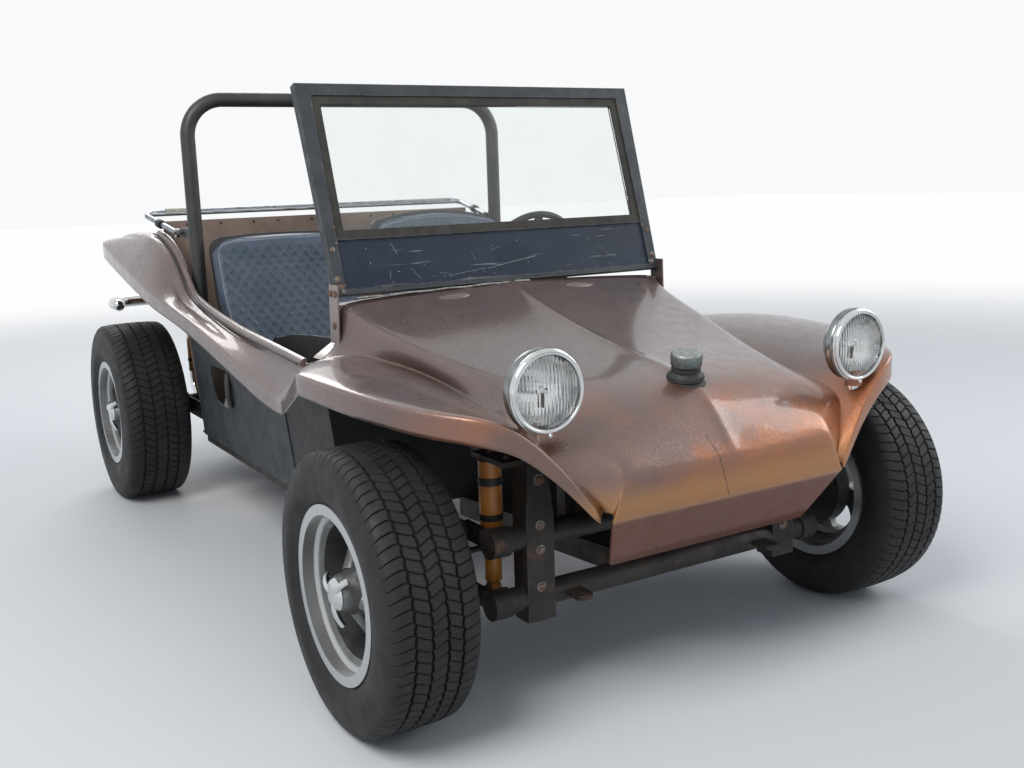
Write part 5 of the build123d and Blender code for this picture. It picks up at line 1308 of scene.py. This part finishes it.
# fan belt round the two grooved pulleys, bolts on the engine and the beam
belt = {"y": 1556, "low": 360, "lowR": 83, "high": 620, "highR": 47, "section": ((-5, 2), (5, 2), (3.5, -6), (-3.5, -6))}
rise = math.asin((belt["lowR"] - belt["highR"]) / (belt["high"] - belt["low"]))
loop = []
for pulley, steps, start, sweep in (
    ("low", 24, math.pi - rise, math.pi + 2 * rise), ("high", 16, rise, math.pi - 2 * rise),
):
    for k in range(steps + 1):
        angle, radius = start + sweep * k / steps, belt[pulley + "R"]
        loop.append((radius * math.cos(angle), belt["y"], belt[pulley] + radius * math.sin(angle)))
beltPoints = []
for k, (x, y, z) in enumerate(loop):
    ahead = Vector(loop[(k + 1) % len(loop)]) - Vector(loop[k - 1])
    outward = Vector((ahead.z, 0, -ahead.x)).normalized()
    beltPoints += [Vector((x, y + across, z)) + outward * depth for across, depth in belt["section"]]
beltFaces = gridFaces(len(loop), len(belt["section"]), closeRows=True, closeColumns=True)
joined("fanBelt", [(beltPoints, beltFaces)], "black_rubber")
castBolts = []
for sign in (-1, 1):
    for y in (1290, 1385, 1480):
        castBolts += hexBolt((sign * 322, y, 348), (sign, 0, 0), 6)
    for z, size in ((300, 8), (390, 8), (450, 8), (560, 9)):
        castBolts += hexBolt((sign * 390, -1463, z), forward, size)
    for y in (-1405, -1330):
        castBolts += hexBolt((sign * 440, y, 608), upward, 7)
castBolts += hexBolt((0, 1572, 360), rearward, 13) + hexBolt((0, 1571, 620), rearward, 9)
joined("castBolts", castBolts, "oldBolt")

# wheel centres: cast barrel and spokes, and a spinner level with the rim's lip as photographed
hubParts = {
    "barrel": [(74, -51), (60, -40), (52, -20), (47, 0), (44, 14), (40, 22), (20, 22)],
    "spokes": {"count": 5, "start": 126, "path": ((44, -26), (78, -46), (112, -66), (146, -86)), "radius": 21},
    "cone": [(38, 21), (39, 25), (36, 30), (29, 35), (18, 37.5), (0, 38)],
    "wings": {"count": 3, "start": 20, "path": ((14, 30), (32, 32), (50, 28), (68, 19), (72, 15)), "radius": 8.5},
}


def spoked(face, sign, spec, bars):
    made = []
    for k in range(bars["count"]):
        angle = math.radians(bars["start"] + 360 * k / bars["count"])
        line = []
        for radius, reach in bars["path"]:
            y, z = spec["axleY"] + radius * math.cos(angle), spec["radius"] + radius * math.sin(angle)
            line.append((sign * (face + reach), y, z))
        made.append(swept(line, bars["radius"], 12))
    return made


for place, spec in wheelSpecs.items():
    for sideName, sign in (("left", 1), ("right", -1)):
        node = place + "_spinner_" + sideName
        wheelBody = "wheel_" + place + "_" + sideName
        low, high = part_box(node)
        face = (high[0] if sign > 0 else -low[0]) * 1000
        middle, out = (sign * face, spec["axleY"], spec["radius"]), (sign, 0, 0)
        centre = [turned(hubParts["barrel"], middle, out, 48)] + spoked(face, sign, spec, hubParts["spokes"])
        joined(place + "HubBarrel" + sideName.title(), centre, place + "Wheel", wheelBody)
        winged = [turned(hubParts["cone"], middle, out, 48)] + spoked(face, sign, spec, hubParts["wings"])
        spinner = joined(place + "Spinner" + sideName.title(), winged, "chrome", wheelBody)
        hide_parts(node)

# three dials on the dashboard
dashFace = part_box("dashboard")[1][1] * 1000
dialSet = {"z": 872, "dials": ((120, 42), (215, 30), (370, 30)), "needleOut": 3.4, "needle": (-0.5, 0.55)}
dials, dialPlates, needles = [], [], []
for x, r in dialSet["dials"]:
    spot = (x, dashFace, dialSet["z"])
    dials.append(turned([(r + 5, -1), (r + 5, 5), (r + 2, 8), (r - 1, 6), (r - 2, 2)], spot, rearward, 48))
    dialPlates.append(turned([(r - 1, 2), (0, 2.2)], spot, rearward))
    needleY, (alongX, alongZ) = dashFace + dialSet["needleOut"], dialSet["needle"]
    tip = (x + r * alongX, needleY, dialSet["z"] + r * alongZ)
    needles.append(swept([(x, needleY, dialSet["z"]), tip], 1.0, 5))
joined("dialBezels", dials, "chrome")
joined("dialPlates", dialPlates, "dialFace")
joined("dialNeedles", needles, "barePrimer")
print("small parts made")

# pale floor that fades into the surroundings
studio = {
    "half": 40, "floor": (0.74, 0.74, 0.73), "rough": 0.9, "fade": (3.2, 10.0), "fadedFloor": (0.0, 0.0, 0.0),
    "backdrop": (0.94, 0.95, 0.96), "fadedGlow": 0.97, "sky": (0.55, 0.63, 0.76), "skyStrength": 0.6, "glossyShare": 0.85,
}
floorMesh = bpy.data.meshes.new("floor")
floorCorners = [(x * studio["half"], y * studio["half"], 0) for x, y in ((-1, -1), (1, -1), (1, 1), (-1, 1))]
floorMesh.from_pydata(floorCorners, [], [(0, 1, 2, 3)])
floor = bpy.data.objects.new("floor", floorMesh)
view.collection.objects.link(floor)
floorFinish, tree, sockets = newMaterial("floor")
farAway = ramp(tree, vectorCalc(tree, "LENGTH", objectPlace(tree)), *studio["fade"])
tree.links.new(mixColor(tree, farAway, studio["floor"], studio["fadedFloor"]), sockets["Base Color"])
sockets["Roughness"].default_value = studio["rough"]
sockets["Emission Color"].default_value = (*studio["backdrop"], 1)
tree.links.new(times(tree, farAway, studio["fadedGlow"]), sockets["Emission Strength"])
floorMesh.materials.append(floorFinish)

world = bpy.data.worlds.new("studio")
view.world = world
world.use_nodes = True
tree = world.node_tree
sky = tree.nodes["Background"]
rays = addNode(tree, "LightPath").outputs
glossy = times(tree, rays["Is Glossy Ray"], studio["glossyShare"])
seen = calc(tree, "MAXIMUM", rays["Is Camera Ray"], calc(tree, "MAXIMUM", glossy, rays["Is Transmission Ray"]))
tree.links.new(mixColor(tree, seen, studio["sky"], studio["backdrop"]), sky.inputs["Color"])
tree.links.new(ramp(tree, seen, 0.0, 1.0, studio["skyStrength"], 1.0), sky.inputs["Strength"])
print("stage set")
